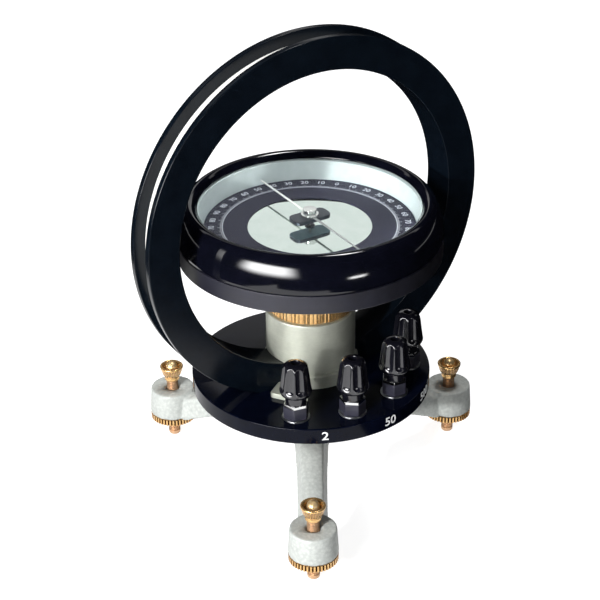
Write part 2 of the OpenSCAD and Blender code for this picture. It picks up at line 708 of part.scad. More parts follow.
// Needle: magnet, pointer and jewelled cap
module needle_magnet() color("#3c4046") difference() {
    half_l = magnet_l / 2;
    half_w = magnet_w / 2;
    rotate([0, 0, ring_turn]) translate([0, 0, magnet_z]) linear_extrude(magnet_t) polygon([
        [half_l, half_w - magnet_cut], [half_l - magnet_cut, half_w],
        [magnet_cut - half_l, half_w], [-half_l, half_w - magnet_cut],
        [-half_l, magnet_cut - half_w], [magnet_cut - half_l, -half_w],
        [half_l - magnet_cut, -half_w], [half_l, magnet_cut - half_w]]);
    round_bar(cap_stem_d / 2 + run_gap, magnet_z - over, pointer_z + over);
}
module needle_pointer() color("#d5d8d3") difference() {
    union() {
        rotate([0, 0, axis_turn]) translate([-pointer_l / 2, -pointer_w / 2, pointer_z])
            cube([pointer_l, pointer_w, pointer_t]);
        round_bar(cap_d / 2, pointer_z, cap_z);
    }
    round_bar(cap_stem_d / 2 + run_gap, pointer_z - over, cap_z + over);
}
module jewel_cap() color(silver) difference() {
    union() {
        round_bar(cap_stem_d / 2, magnet_z, cap_z + cap_flange_t);
        round_bar(cap_d / 2, cap_z, cap_z + cap_flange_t);
        round_bar(cap_top_d / 2, cap_z, cap_top);
    }
    round_bar(jewel_d / 2 + run_gap, magnet_z - over, jewel_z + jewel_t);
}
module jewel() color("#a02030") difference() {
    round_bar(jewel_d / 2, jewel_z, jewel_z + jewel_t);
    translate([0, 0, jewel_z - run_gap])
        cylinder(r1 = jewel_hollow_d / 2, r2 = run_gap, h = pin_tip - jewel_z + run_gap);
}

tripod();
spindle_bush();
thrust_washer();
foot_screw(1);  // foot_screw_1
foot_screw(2);  // foot_screw_2
foot_screw(3);  // foot_screw_3
foot_cup(1);  // foot_cup_1
foot_cup(2);  // foot_cup_2
foot_cup(3);  // foot_cup_3
foot_wheel(1);  // foot_wheel_1
foot_wheel(2);  // foot_wheel_2
foot_wheel(3);  // foot_wheel_3
base_disc();
spindle();
spindle_screws();
spindle_washer();
spindle_nut();
coil_former();
winding_500();
winding_50();
winding_2();
rim_cover();
coil_leads();
pillar();
pillar_screws();
terminal_washers();
terminal_studs();
terminal_nuts();
terminal_tags();
terminal_collar(1);  // terminal_collar_1
terminal_collar(2);  // terminal_collar_2
terminal_collar(3);  // terminal_collar_3
terminal_collar(4);  // terminal_collar_4
clamp_plate(1);  // clamp_plate_1
clamp_plate(2);  // clamp_plate_2
clamp_plate(3);  // clamp_plate_3
clamp_plate(4);  // clamp_plate_4
terminal_knob(1);  // terminal_knob_1
terminal_knob(2);  // terminal_knob_2
terminal_knob(3);  // terminal_knob_3
terminal_knob(4);  // terminal_knob_4
clamp_collar();
compass_stem();
stem_screws();
compass_bowl();
dial_bed();
dial_ring();
dial_mirror();
wall_liner();
cover_glass();
bezel();
pivot_post();
pivot_pin();
needle_magnet();
needle_pointer();
jewel_cap();
jewel();
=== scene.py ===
# %% [markdown]
# Tangent galvanometer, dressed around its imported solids.
# The real thing is a teaching instrument: a black spool stands in a turning disc, a compass box with a
# mirror under its needle sits at the spool's centre, and a silver tripod with brass feet carries it all.
# Here each visible piece is modelled again with smooth edges, and given the finish that the real one has.
# Sizes are in millimetres in the modelling cells and become metres when a piece is finished.

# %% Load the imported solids
import json
import math
import bmesh
import bpy
from mathutils import Matrix, Vector

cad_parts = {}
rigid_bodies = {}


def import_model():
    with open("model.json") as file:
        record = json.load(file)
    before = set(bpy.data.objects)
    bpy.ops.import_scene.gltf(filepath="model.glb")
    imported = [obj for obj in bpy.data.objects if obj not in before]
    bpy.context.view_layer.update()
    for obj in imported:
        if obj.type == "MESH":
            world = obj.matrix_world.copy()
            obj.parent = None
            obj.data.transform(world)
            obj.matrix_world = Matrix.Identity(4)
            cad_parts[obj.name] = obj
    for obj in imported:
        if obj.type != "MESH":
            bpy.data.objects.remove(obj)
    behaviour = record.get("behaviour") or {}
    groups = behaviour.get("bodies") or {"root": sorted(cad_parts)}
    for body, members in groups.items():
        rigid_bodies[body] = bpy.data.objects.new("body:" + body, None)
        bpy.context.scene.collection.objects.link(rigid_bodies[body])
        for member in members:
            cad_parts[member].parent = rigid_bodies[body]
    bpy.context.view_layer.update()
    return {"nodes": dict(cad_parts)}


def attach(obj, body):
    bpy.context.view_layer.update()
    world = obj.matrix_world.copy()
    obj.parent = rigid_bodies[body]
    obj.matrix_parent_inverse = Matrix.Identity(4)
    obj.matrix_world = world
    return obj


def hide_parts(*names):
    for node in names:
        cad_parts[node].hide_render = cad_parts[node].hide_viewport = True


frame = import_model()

NODES = frame["nodes"]
MM = 0.001
print("packed nodes:", len(NODES))

# %% [markdown]
# Heights and radii that several pieces share. They repeat the part's own values, because this script reads
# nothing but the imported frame. Z is measured from the table, and radii from the turning axis.

# %% Shared sizes
FULL_TURN = 2 * math.pi
RING_Z, RING_R, RING_BORE, RING_HALF = 157.0, 95.0, 78.0, 9.3
RING_TURN = math.radians(31.5)
AXIS_TURN = RING_TURN - math.pi / 2
DISC_R, DISC_LOW, DISC_TOP = 61.7, 61.0, 69.6
FEET = [(k + 1, math.radians(-90 + 120 * k)) for k in range(3)]
FOOT_R, STAND, BOSS_TOP = 88.0, 15.6, 30.1
HUB_LOW, HUB_TOP, HUB_R = 33.2, 57.2, 21.0
TERMINALS = [(k + 1, math.radians(-99 + 33 * k)) for k in range(4)]
TERMINAL_R = 49.977
PILLAR_R, PILLAR_TOP = 23.0, 105.6
BOX_R, BOX_LOW, BOX_RIM = 66.8, 137.2, 147.2
BED_Z, DIAL_R, DIAL_Z, MIRROR_R, MIRROR_Z = 149.2, 53.0, 150.8, 31.2, 150.4
LIP_R, LIP_Z = 55.7, 162.2
MAGNET_Z, POINTER_Z, CAP_Z, CAP_TOP = 154.2, 156.2, 156.6, 159.8


def polar(radius, angle, z=0.0):
    return Vector((radius * math.cos(angle), radius * math.sin(angle), z))


def reach(point):
    return math.hypot(point.x, point.y)


print("feet stand", FOOT_R, "mm out, the ring's middle is", RING_Z, "mm up")

# %% [markdown]
# Every colour is written as the sRGB hex value that a colour picker shows, and one function turns it into
# the linear numbers that the shaders work in. One small function adds a node with its settings and links.
# Most finishes need a colour that drifts between a few tones, a gloss that varies and a bump, each driven
# by a pattern. They are put on in one step.

# %% Colour and node helpers
def linear(hex_colour):
    parts = [int(hex_colour[i:i + 2], 16) / 255 for i in (1, 3, 5)]
    return tuple(c / 12.92 if c <= 0.04045 else ((c + 0.055) / 1.055) ** 2.4 for c in parts) + (1.0,)


def per_mm(size_mm):
    return 1.0 / (size_mm * MM)


def set_inputs(tree, node, inputs):
    for name, value in inputs.items():
        if isinstance(value, bpy.types.NodeSocket):
            tree.links.new(value, node.inputs[name])
        else:
            node.inputs[name].default_value = value


def add_node(tree, kind, output, inputs=None, stops=(), **settings):
    made = tree.nodes.new("ShaderNode" + kind)
    for name, value in settings.items():
        setattr(made, name, value)
    set_inputs(tree, made, inputs or {})
    for count, (position, hex_colour) in enumerate(stops):
        elements = made.color_ramp.elements
        element = elements[count] if count < len(elements) else elements.new(position)
        element.position = position
        element.color = linear(hex_colour)
    return made.outputs[output]


def new_material(name, **shader):
    material = bpy.data.materials.new(name)
    material.use_nodes = True
    tree = material.node_tree
    principled = tree.nodes["Principled BSDF"]
    set_inputs(tree, principled, {socket.replace("_", " "): value for socket, value in shader.items()})
    return material, tree, principled


def put_on(tree, principled, colour_by, stops, gloss_by, gloss, height, bump):
    driven = {"Base Color": add_node(tree, "ValToRGB", "Color", {"Fac": colour_by}, stops)}
    if gloss:
        driven["Roughness"] = add_node(tree, "MapRange", "Result", {
            "Value": gloss_by, "To Min": gloss[0], "To Max": gloss[1]})
    if bump:
        strength, deep_mm = bump
        driven["Normal"] = add_node(tree, "Bump", "Normal", {
            "Height": height, "Strength": strength, "Distance": deep_mm * MM})
    set_inputs(tree, principled, driven)


print("white in linear numbers:", linear("#ffffff"))

# %% [markdown]
# Black phenolic: the spool, the disc, the bezel and the terminals were moulded or turned from a hard black
# resin and buffed. To the eye it is nearly black with a cold tint, and sharp reflections that waver a little
# where the buffing wheel left the surface not quite flat. Fine dust and rubbing vary the gloss. Shine is the
# strength of the mirrored light: the disc and the spool are painted and give back less, the knobs more.

# %% Black phenolic
def black_phenolic(name, tint, gloss, wave_mm=14.0, wave=0.05, shine=0.5):
    material, tree, principled = new_material(name, IOR=1.5, Specular_IOR_Level=shine)
    place = add_node(tree, "TexCoord", "Object")
    cloud = add_node(tree, "TexNoise", "Fac", {
        "Vector": place, "Scale": per_mm(9.0), "Detail": 4.0, "Roughness": 0.6})
    dust = add_node(tree, "TexNoise", "Fac", {
        "Vector": place, "Scale": per_mm(2.2), "Detail": 6.0, "Roughness": 0.7})
    swell = add_node(tree, "TexNoise", "Fac", {"Vector": place, "Scale": per_mm(wave_mm), "Detail": 2.0})
    put_on(tree, principled, cloud, [(0.3, tint[0]), (0.7, tint[1])], dust, gloss, swell, (wave, 0.4))
    return material


POLISHED_BLACK = black_phenolic("polished_black_phenolic", ("#06070e", "#0a0b15"), (0.05, 0.12))
DISC_BLACK = black_phenolic("polished_disc_black", ("#03050f", "#060a19"), (0.07, 0.15), shine=0.12)
SPOOL_BLACK = black_phenolic("painted_spool_black", ("#060b12", "#0a1119"), (0.14, 0.26),
                             wave=0.02, shine=0.22)
SATIN_BLACK = black_phenolic("satin_black_phenolic", ("#17171f", "#1f1f29"), (0.34, 0.46), wave=0.02)
COLLAR_BLACK = black_phenolic("satin_collar_black", ("#25252f", "#2f2f3b"), (0.3, 0.42), wave=0.02)
KNOB_BLACK = black_phenolic("moulded_knob_black", ("#0c0c13", "#13131a"), (0.1, 0.2), 4.0, 0.03, 0.9)
print("blacks:", len(bpy.data.materials))

# %% [markdown]
# Hammered silver paint: the tripod is a sand casting sprayed with an aluminium paint that dries in small
# dimples about a millimetre and a half across, paler on the crowns and greyer in the dips.

# %% Hammered silver paint
def hammered_silver():
    material, tree, principled = new_material("hammered_silver_paint", Metallic=0.05, IOR=1.45)
    place = add_node(tree, "TexCoord", "Object")
    cells = add_node(tree, "TexVoronoi", "Distance", {
        "Vector": place, "Scale": per_mm(1.6), "Smoothness": 1.0, "Randomness": 1.0}, feature="SMOOTH_F1")
    grain = add_node(tree, "TexNoise", "Fac", {
        "Vector": place, "Scale": per_mm(0.5), "Detail": 4.0, "Roughness": 0.6})
    drift = add_node(tree, "TexNoise", "Fac", {"Vector": place, "Scale": per_mm(20.0), "Detail": 3.0})
    shift = add_node(tree, "MapRange", "Result", {"Value": drift, "To Min": -0.2, "To Max": 0.2})
    mixed = add_node(tree, "Mix", "Result", {"Factor": 0.5, "A": cells, "B": grain}, data_type="FLOAT")
    both = add_node(tree, "Math", "Value", {0: mixed, 1: shift}, operation="ADD")
    put_on(tree, principled, both, [(0.15, "#cacec9"), (0.75, "#a1a5a2")], grain, (0.38, 0.58),
           mixed, (0.5, 0.25))
    return material


HAMMERED_SILVER = hammered_silver()
print("paint:", HAMMERED_SILVER.name)

# %% [markdown]
# Turned metals: brass for the feet and the clamp collar, aluminium for the pillar, steel for the screws.
# A lathe tool leaves fine rings, so the gloss and the colour vary in thin bands up the turning axis, which
# stands upright on all of these. The real rings are about a tenth of a millimetre apart, and are drawn
# three times as coarse, so that they show. Lacquer and age veil some, and bare is the share left as metal.

# %% Turned metals
def turned_metal(name, stops, gloss, ring_mm=0.35, bare=1.0):
    material, tree, principled = new_material(name, Metallic=bare)
    place = add_node(tree, "TexCoord", "Object")
    flat = add_node(tree, "Mapping", "Vector", {"Vector": place, "Scale": (0.03, 0.03, 1.0)})
    rings = add_node(tree, "TexNoise", "Fac", {
        "Vector": flat, "Scale": per_mm(ring_mm), "Detail": 3.0, "Roughness": 0.6})
    stain = add_node(tree, "TexNoise", "Fac", {
        "Vector": place, "Scale": per_mm(5.0), "Detail": 5.0, "Roughness": 0.65})
    both = add_node(tree, "Mix", "Result", {"Factor": 0.6, "A": rings, "B": stain}, data_type="FLOAT")
    put_on(tree, principled, both, stops, rings, gloss, rings, (0.12, 0.1))
    return material


LACQUERED_BRASS = turned_metal("lacquered_brass", [(0.3, "#c8985a"), (0.55, "#dcb47a"), (0.8, "#efd6a6")],
                               (0.14, 0.28), bare=0.75)
# The thread's own brass, also used as painted shade in the gaps between the cup's ribs.
THREAD_AND_SHADE_BRASS = turned_metal("thread_brass_and_painted_gap_shade", [(0.3, "#ab8766"), (0.6, "#d0ac8a"), (0.85, "#ead2b2")],
                          (0.24, 0.4), bare=0.6)
# Painted shade: a darker brown brass for the gaps between the wheels' knurl teeth.
PAINTED_SHADE_BRASS = turned_metal("painted_shade_gap_brass", [(0.3, "#5c3a1b"), (0.7, "#86592c")], (0.4, 0.6))
SATIN_BRASS = turned_metal("satin_brass", [(0.3, "#d8ac70"), (0.7, "#f2dcae")], (0.34, 0.46), bare=0.7)
SATIN_ALUMINIUM = turned_metal("satin_turned_aluminium", [(0.3, "#b4b7aa"), (0.6, "#c4c7ba"),
                                                          (0.8, "#d3d6ca")], (0.42, 0.56), bare=0.7)
SCREW_STEEL = turned_metal("machined_steel", [(0.3, "#8d8f92"), (0.7, "#b3b5b8")], (0.25, 0.4))
BRIGHT_NICKEL = turned_metal("bright_nickel", [(0.3, "#c9cacb"), (0.7, "#e6e6e4")], (0.08, 0.18))
ENAMELLED_COPPER = turned_metal("enamelled_copper", [(0.3, "#8f4a22"), (0.7, "#b5652f")], (0.2, 0.35), 0.8)
print("finishes so far:", len(bpy.data.materials))

# %% [markdown]
# Grained finishes, each driven by one fine noise: the paints, the pale wall of the box, the magnet's blued
# steel, the pointer's strip, one half of which is painted darker as shade, the washer's fibre, the cotton
# tape and the mirror with its faint haze. Light that the mirror throws up isn't traced, so the magnet's
# underside is painted paler, as painted light.

# %% Grained finishes
def grained(name, stops, grain_mm, detail, rough, gloss=None, bump=None, **shader):
    material, tree, principled = new_material(name, **shader)
    place = add_node(tree, "TexCoord", "Object")
    grain = add_node(tree, "TexNoise", "Fac", {
        "Vector": place, "Scale": per_mm(grain_mm), "Detail": detail, "Roughness": rough})
    put_on(tree, principled, grain, stops, grain, gloss, grain, bump)
    return material


def matt_finish(name, tones, gloss, grain_mm, bump_mm=0.0, **shader):
    return grained(name, [(0.3, tones[0]), (0.7, tones[1])], grain_mm, 5.0, 0.65,
                   (gloss - 0.08, gloss + 0.08), (0.4, bump_mm) if bump_mm else None, **shader)


SLATE_PAINT = matt_finish("slate_dial_paint", ("#1b1c29", "#232433"), 0.5, 1.2, 0.02, Specular_IOR_Level=0.1)
FIGURE_PAINT = matt_finish("pale_figure_paint", ("#b4b8c0", "#c6cad0"), 0.55, 0.8, 0.02,
                           Specular_IOR_Level=0.1)
WHITE_PAINT = matt_finish("white_filling_paint", ("#e4e6e6", "#f2f3f2"), 0.55, 0.8, 0.02)
PALE_WALL = matt_finish("pale_satin_wall", ("#aab6b7", "#b8c3c4"), 0.4, 6.0)
BLUED_STEEL = matt_finish("blued_magnet_steel", ("#252a32", "#353b44"), 0.35, 1.5, 0.02, Metallic=0.6)
# Painted light: a paler steel on the magnet's underside, for the light that the mirror throws up.
MIRROR_LIGHT_STEEL = matt_finish("painted_mirror_light_steel", ("#5a6b7c", "#6a7b8b"), 0.5, 1.5, 0.02)
POINTER_STRIP = matt_finish("bright_pointer_strip", ("#c9ccca", "#dfe2de"), 0.35, 1.0, Metallic=0.5)
# Painted shade: a darker strip for one half of the pointer.
PAINTED_SHADE_STRIP = matt_finish("painted_shade_pointer_strip", ("#6c7070", "#7c8080"), 0.5, 1.0)
PRESSED_FIBRE = matt_finish("pressed_fibre", ("#5c3d2b", "#7a543b"), 0.7, 0.6, 0.05)
RUBY = matt_finish("ruby_jewel", ("#8a1428", "#a51c34"), 0.12, 1.0)
COTTON_TAPE = grained("white_cotton_tape", [(0.25, "#e6e5df"), (0.6, "#f7f6f1")], 0.6, 2.0, 0.5,
                      bump=(0.5, 0.12), Roughness=0.85)
SILVERED_GLASS = grained("silvered_mirror", [(0.3, "#d6e1dc"), (0.7, "#dde6e2")], 7.0, 4.0, 0.5,
                         (0.015, 0.04), Metallic=1.0)
print("finishes so far:", len(bpy.data.materials))

# %% [markdown]
# The thin cover glass bends light very little and lets the lamps through to the dial, so that it shows as a
# faint sheen and not as a grey veil.

# %% Cover glass
def clear_glass():
    material, tree, principled = new_material("clear_cover_glass", IOR=1.05, Transmission_Weight=1.0,
                                              Base_Color=linear("#fbfdfc"))
    place = add_node(tree, "TexCoord", "Object")
    smear = add_node(tree, "TexNoise", "Fac", {"Vector": place, "Scale": per_mm(12.0), "Detail": 3.0})
    polish = add_node(tree, "MapRange", "Result", {"Value": smear, "To Min": 0.0, "To Max": 0.012})
    set_inputs(tree, principled, {"Roughness": polish})
    chosen = add_node(tree, "MixShader", "Shader", {
        "Fac": add_node(tree, "LightPath", "Is Shadow Ray"), 1: principled.outputs["BSDF"],
        2: add_node(tree, "BsdfTransparent", "BSDF")})
    set_inputs(tree, tree.nodes["Material Output"], {"Surface": chosen})
    return material


CLEAR_GLASS = clear_glass()
print("finishes:", len(bpy.data.materials))

# %% [markdown]
# Shared modelling steps. A turned piece starts as its profile, a few vertices in the plane of radius and
# height, and bmesh spin turns it round the axis, as the lathe does. Rims that a maker breaks with a file
# get a bevel afterwards.

# %% Turning and placing
def spun(profile, steps, closed=True):
    shape = bmesh.new()
    verts = [shape.verts.new((r, 0.0, z)) for r, z in profile]
    edges = [shape.edges.new(pair) for pair in zip(verts, verts[1:])]
    if closed:
        edges.append(shape.edges.new((verts[-1], verts[0])))
    bmesh.ops.spin(shape, geom=verts + edges, cent=(0, 0, 0), axis=(0, 0, 1), dvec=(0, 0, 0),
                   angle=FULL_TURN, steps=steps, use_merge=True, use_duplicate=False)
    bmesh.ops.remove_doubles(shape, verts=shape.verts, dist=1e-4)
    bmesh.ops.recalc_face_normals(shape, faces=shape.faces)
    return shape


def bevelled(shape, edges, size, segments):
    bmesh.ops.bevel(shape, geom=edges, offset=size, offset_type="OFFSET", affect="EDGES",
                    segments=segments, profile=0.5, clamp_overlap=True, material=-1)


def round_rims(shape, rims, segments=4):
    for radius, z, size in rims:
        found = [e for e in shape.edges if all(
            abs(reach(v.co) - radius) < 1e-3 and abs(v.co.z - z) < 1e-3 for v in e.verts)]
        bevelled(shape, found, size, segments)
    return shape


def turned(angle):
    return Matrix.Rotation(angle, 4, "Z")


def raised(z):
    return Matrix.Translation((0, 0, z))


def placed(shape, matrix):
    bmesh.ops.transform(shape, matrix=matrix, verts=shape.verts)
    return shape


# %% [markdown]
# Finishing a piece scales it to metres, marks its sharp edges, evens its shading and lets it ride on its
# body. A second finish goes on the faces that carry the material index one.

# %% Finishing
def linked(name, data):
    holder = bpy.data.objects.new(name, data)
    bpy.context.scene.collection.objects.link(holder)
    return holder


def as_object(name, shape):
    mesh = bpy.data.meshes.new(name)
    shape.to_mesh(mesh)
    shape.free()
    return linked(name, mesh)


SHARP = math.radians(32)


def finish_piece(name, shape, body, material, replaces=(), sharp=SHARP, weighted=True, second=None):
    bmesh.ops.scale(shape, vec=(MM, MM, MM), verts=shape.verts)
    for edge in shape.edges:
        edge.smooth = not (len(edge.link_faces) == 2 and edge.calc_face_angle() > sharp)
    for face in shape.faces:
        face.smooth = True
    piece = as_object(name, shape)
    piece.data.materials.append(material)
    if second:
        piece.data.materials.append(second)
    if weighted:
        even = piece.modifiers.new("even_normals", "WEIGHTED_NORMAL")
        even.keep_sharp = True
    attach(piece, body)
    if replaces:
        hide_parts(*replaces)
    print(name, "has", len(piece.data.polygons), "faces and rides on", body)


print("edges over", round(math.degrees(SHARP)), "degrees stay sharp")

# %% [markdown]
# The camera stands where the photographer stood: about 0.9 m away, looking 29 degrees down, with a long
# lens. It comes first, because every later look at the work is through it.

# %% Camera
FOCAL_PX, IMAGE_PX, SENSOR = 1800.0, 600.0, 36.0
TARGET = Vector((-5.3, 0.0, 108.2)) * MM
DISTANCE = 918.4 * MM
LOOK_DOWN, CAMERA_ROLL = math.radians(29.1), math.radians(-0.6)
camera_data = bpy.data.cameras.new("camera")
camera_data.lens = FOCAL_PX / IMAGE_PX * SENSOR
camera_data.sensor_width = SENSOR
camera = linked("camera", camera_data)
camera.location = TARGET + DISTANCE * Vector((0.0, -math.cos(LOOK_DOWN), math.sin(LOOK_DOWN)))
tilted = Matrix.Rotation(math.pi / 2 - LOOK_DOWN, 4, "X") @ turned(CAMERA_ROLL)
camera.rotation_euler = tilted.to_euler()
bpy.context.scene.camera = camera
print("lens:", camera_data.lens, "mm")

# %% [markdown]
# The spool: two broad flanges on a core, turned in one piece. Its channel holds the windings, and white
# cotton tape covers them six millimetres below the flange edges, so that a white crescent shows from above.
# The profile is spun about the coil's axis and then stood up in the disc. The tape's profile has a small
# step where its last turn laps over.

# %% Coil spool and tape
STAND_UP = raised(RING_Z) @ turned(RING_TURN) @ Matrix.Rotation(math.pi / 2, 4, "X")
RING_STEPS, FLANGE, CORE_R, TAPE_R, LAP = 256, 3.4, RING_BORE + 2, 89.0, 0.12
INSIDE = RING_HALF - FLANGE
TAPE_EDGE = INSIDE - 0.02
spool = spun([(RING_BORE, -RING_HALF), (RING_R, -RING_HALF), (RING_R, -INSIDE), (CORE_R, -INSIDE),
              (CORE_R, INSIDE), (RING_R, INSIDE), (RING_R, RING_HALF), (RING_BORE, RING_HALF)], RING_STEPS)
round_rims(spool, [(RING_R, -RING_HALF, 0.5), (RING_R, RING_HALF, 0.5), (RING_R, -INSIDE, 0.35),
                   (RING_R, INSIDE, 0.35), (RING_BORE, -RING_HALF, 0.7), (RING_BORE, RING_HALF, 0.7)], 3)
finish_piece("coil_spool", placed(spool, STAND_UP), "turntable", SPOOL_BLACK,
             ["coil_former"])
tape = spun([(TAPE_R - 1, -TAPE_EDGE), (TAPE_R - 0.3, -TAPE_EDGE), (TAPE_R - 0.1, -3.2), (TAPE_R, 0.4),
             (TAPE_R - LAP, 0.45), (TAPE_R - 0.05, 2.4), (TAPE_R - 0.3, TAPE_EDGE), (TAPE_R - 1, TAPE_EDGE)],
            RING_STEPS)
finish_piece("winding_tape", placed(tape, STAND_UP), "turntable", COTTON_TAPE, ["rim_cover"])

# %% [markdown]
# The base disc: a turned slab with broken edges and a slot through which the spool stands. The slot is cut
# with a Boolean, because no operator of the lathe kind makes it. Only objects have modifiers, so the shape
# and the tool become objects for the cut and are taken back as one mesh.

# %% Base disc
def slab(radius, low, high, steps):
    return spun([(0, low), (radius, low), (radius, high), (0, high)], steps, closed=False)


def cone_of(low_r, high_r, depth, segments, matrix):
    shape = bmesh.new()
    bmesh.ops.create_cone(shape, cap_ends=True, segments=segments, radius1=low_r, radius2=high_r,
                          depth=depth, matrix=matrix)
    return shape


def taken_back(holder, *others):
    bpy.context.view_layer.update()
    result = bpy.data.meshes.new_from_object(holder.evaluated_get(bpy.context.evaluated_depsgraph_get()))
    for old in (holder, *others):
        bpy.data.batch_remove([old, old.data])
    shape = bmesh.new()
    shape.from_mesh(result)
    bpy.data.meshes.remove(result)
    return shape


def boolean(shape, tool, operation):
    target = as_object("target", shape)
    cutter = as_object("tool", tool)
    step = target.modifiers.new("step", "BOOLEAN")
    step.operation = operation
    step.object = cutter
    step.solver = "EXACT"
    whole = taken_back(target, cutter)
    bmesh.ops.remove_doubles(whole, verts=whole.verts, dist=1e-3)
    return whole


SLOT_GAP = 0.1
SLOT_R, SLOT_HALF = RING_R + SLOT_GAP, RING_HALF + SLOT_GAP
disc = slab(DISC_R, DISC_LOW, DISC_TOP, 256)
round_rims(disc, [(DISC_R, DISC_LOW, 0.5), (DISC_R, DISC_TOP, 0.6)])
disc = boolean(disc, cone_of(SLOT_R, SLOT_R, 2 * SLOT_HALF, 256, STAND_UP), "DIFFERENCE")
finish_piece("turning_disc", disc, "turntable", DISC_BLACK, ["base_disc"])

# %% [markdown]
# White numerals for the coil's taps are engraved in the disc's rim and filled with paint. Text is made a
# mesh first, then each vertex is wrapped round the rim, a few hundredths of a millimetre proud of it.

# %% Numerals
def text_shape(words, size, depth, bold=0.0):
    letters = bpy.data.curves.new("letters", "FONT")
    letters.body = words
    letters.size = size
    letters.extrude = depth
    letters.offset = bold
    letters.align_x = "CENTER"
    letters.align_y = "CENTER"
    letters.resolution_u = 6
    return taken_back(linked("letters", letters))


def joined(shapes):
    whole = bmesh.new()
    for shape in shapes:
        part = bpy.data.meshes.new("part")
        shape.to_mesh(part)
        shape.free()
        whole.from_mesh(part)
        bpy.data.meshes.remove(part)
    return whole


RIM_NUMERALS = [("2", -84.0), ("50", -50.5), ("500", -21.0)]
RIM_SIZE, RIM_PROUD, RIM_BOLD, RIM_WIDER = 6.6, 0.05, 0.08, 1.12
rim_shapes = []
for words, degrees in RIM_NUMERALS:
    shape = text_shape(words, RIM_SIZE, RIM_PROUD, RIM_BOLD)
    for vert in shape.verts:
        angle = math.radians(degrees) + RIM_WIDER * vert.co.x / DISC_R
        vert.co = polar(DISC_R + vert.co.z, angle, (DISC_LOW + DISC_TOP) / 2 + vert.co.y)
    rim_shapes.append(shape)
finish_piece("rim_numerals", joined(rim_shapes), "turntable", WHITE_PAINT, weighted=False)

# %% [markdown]
# The pillar: turned aluminium with a low step at its foot and two lugs that screw down to the disc. It
# straddles the spool, so the spool's room is cut out of it.

# %% Pillar
def ring(inner, outer, low, high, steps):
    return spun([(inner, low), (outer, low), (outer, high), (inner, high)], steps)


def cube_of(length, width, height):
    shape = bmesh.new()
    bmesh.ops.create_cube(shape, size=1.0)
    return placed(shape, Matrix.Diagonal((length, width, height, 1.0)))


def span(edge, axis):
    return abs(edge.verts[0].co[axis] - edge.verts[1].co[axis])


STEP_R, STEP_TOP, STEP_NECK, SPIGOT_R, SPIGOT_LOW = 24.5, 76.6, 77.4, 12.05, 88.5
LUGS = [AXIS_TURN - math.radians(55) + side for side in (0.0, math.pi)]
LUG_T, LUG_IN, LUG_OUT, LUG_HALF, LUG_SCREW_R = 2.6, 16.0, 37.0, 7.0, 30.5
pillar = spun([(0, DISC_TOP + 0.1), (STEP_R, DISC_TOP + 0.1), (STEP_R, STEP_TOP), (PILLAR_R, STEP_NECK),
               (PILLAR_R, PILLAR_TOP), (SPIGOT_R, PILLAR_TOP), (SPIGOT_R, SPIGOT_LOW), (0, SPIGOT_LOW)],
              192, closed=False)
round_rims(pillar, [(STEP_R, STEP_TOP, 0.4), (PILLAR_R, PILLAR_TOP, 0.8)], 3)
for angle in LUGS:
    lug = cube_of(LUG_OUT - LUG_IN, 2 * LUG_HALF, LUG_T)
    bevelled(lug, [e for e in lug.edges if all(v.co.x > 0 for v in e.verts) and span(e, 2) > 1], 2.0, 5)
    bevelled(lug, [e for e in lug.edges if all(v.co.z > LUG_T / 2 - 1e-4 for v in e.verts)], 0.4, 2)
    middle = Matrix.Translation(((LUG_IN + LUG_OUT) / 2, 0, DISC_TOP + LUG_T / 2))
    pillar = boolean(pillar, placed(lug, turned(angle) @ middle), "UNION")
room = ring(RING_BORE - SLOT_GAP, SLOT_R, -SLOT_HALF, SLOT_HALF, 256)
pillar = boolean(pillar, placed(room, STAND_UP), "DIFFERENCE")
finish_piece("straddling_pillar", pillar, "turntable", SATIN_ALUMINIUM, ["pillar"])

# %% [markdown]
# Two cheese-head screws hold the lugs. Each head is turned, its rim is broken, and a Boolean saws the slot.
# The two slots point different ways, as screws do that were driven home by hand.

# %% Pillar screws
HEAD_R, HEAD_H, SHANK_R, SHANK_L, SLOT_W, SLOT_DEEP = 2.8, 1.6, 1.5, 7.6, 0.9, 0.8


def slotted_screw():
    screw = spun([(0, -SHANK_L), (SHANK_R, -SHANK_L), (SHANK_R, 0), (HEAD_R, 0), (HEAD_R, HEAD_H),
                  (0, HEAD_H)], 48, closed=False)
    round_rims(screw, [(HEAD_R, HEAD_H, 0.5)], 3)
    saw = placed(cube_of(4 * HEAD_R, SLOT_W, 2 * SLOT_DEEP), raised(HEAD_H))
    return boolean(screw, saw, "DIFFERENCE")


screws = []
for count, angle in enumerate(LUGS):
    seat = Matrix.Translation(polar(LUG_SCREW_R, angle, DISC_TOP + LUG_T))
    screws.append(placed(slotted_screw(), seat @ turned(0.7 * count)))
finish_piece("lug_screws", joined(screws), "turntable", SCREW_STEEL, ["pillar_screws"])

# %% [markdown]
# The clamp collar under the compass box and the wheels under the feet are knurled: a profile is spun with
# four steps for each tooth, and one step in four is pressed in at the rim to make a gap. On the wheels the
# gaps get a second, browner finish, which is painted shade for the shadow in the gaps. The collar's gaps are
# clean.

# %% Knurled rings
KNURL_SHARP = math.radians(20)


def pressed_gaps(shape, teeth, share, chosen):
    step = FULL_TURN / (4 * teeth)
    gaps = [v for v in shape.verts if chosen(v.co) and round(math.atan2(v.co.y, v.co.x) / step) % 4 == 3]
    for vert in gaps:
        vert.co.x *= share
        vert.co.y *= share
    return gaps


def knurled(bore, radius, depth, teeth, low, high, chamfer):
    root = radius - depth
    shape = spun([(bore, low), (root - chamfer, low), (radius, low + chamfer), (radius, high - chamfer),
                  (root - chamfer, high), (bore, high)], 4 * teeth)
    pressed_gaps(shape, teeth, root / radius, lambda point: reach(point) > radius - 1e-3)
    # Gap faces take the second finish, which on the wheels is painted shade.
    for face in shape.faces:
        if root - 1e-3 < min(reach(v.co) for v in face.verts) < radius - depth / 2:
            face.material_index = 1
    return shape


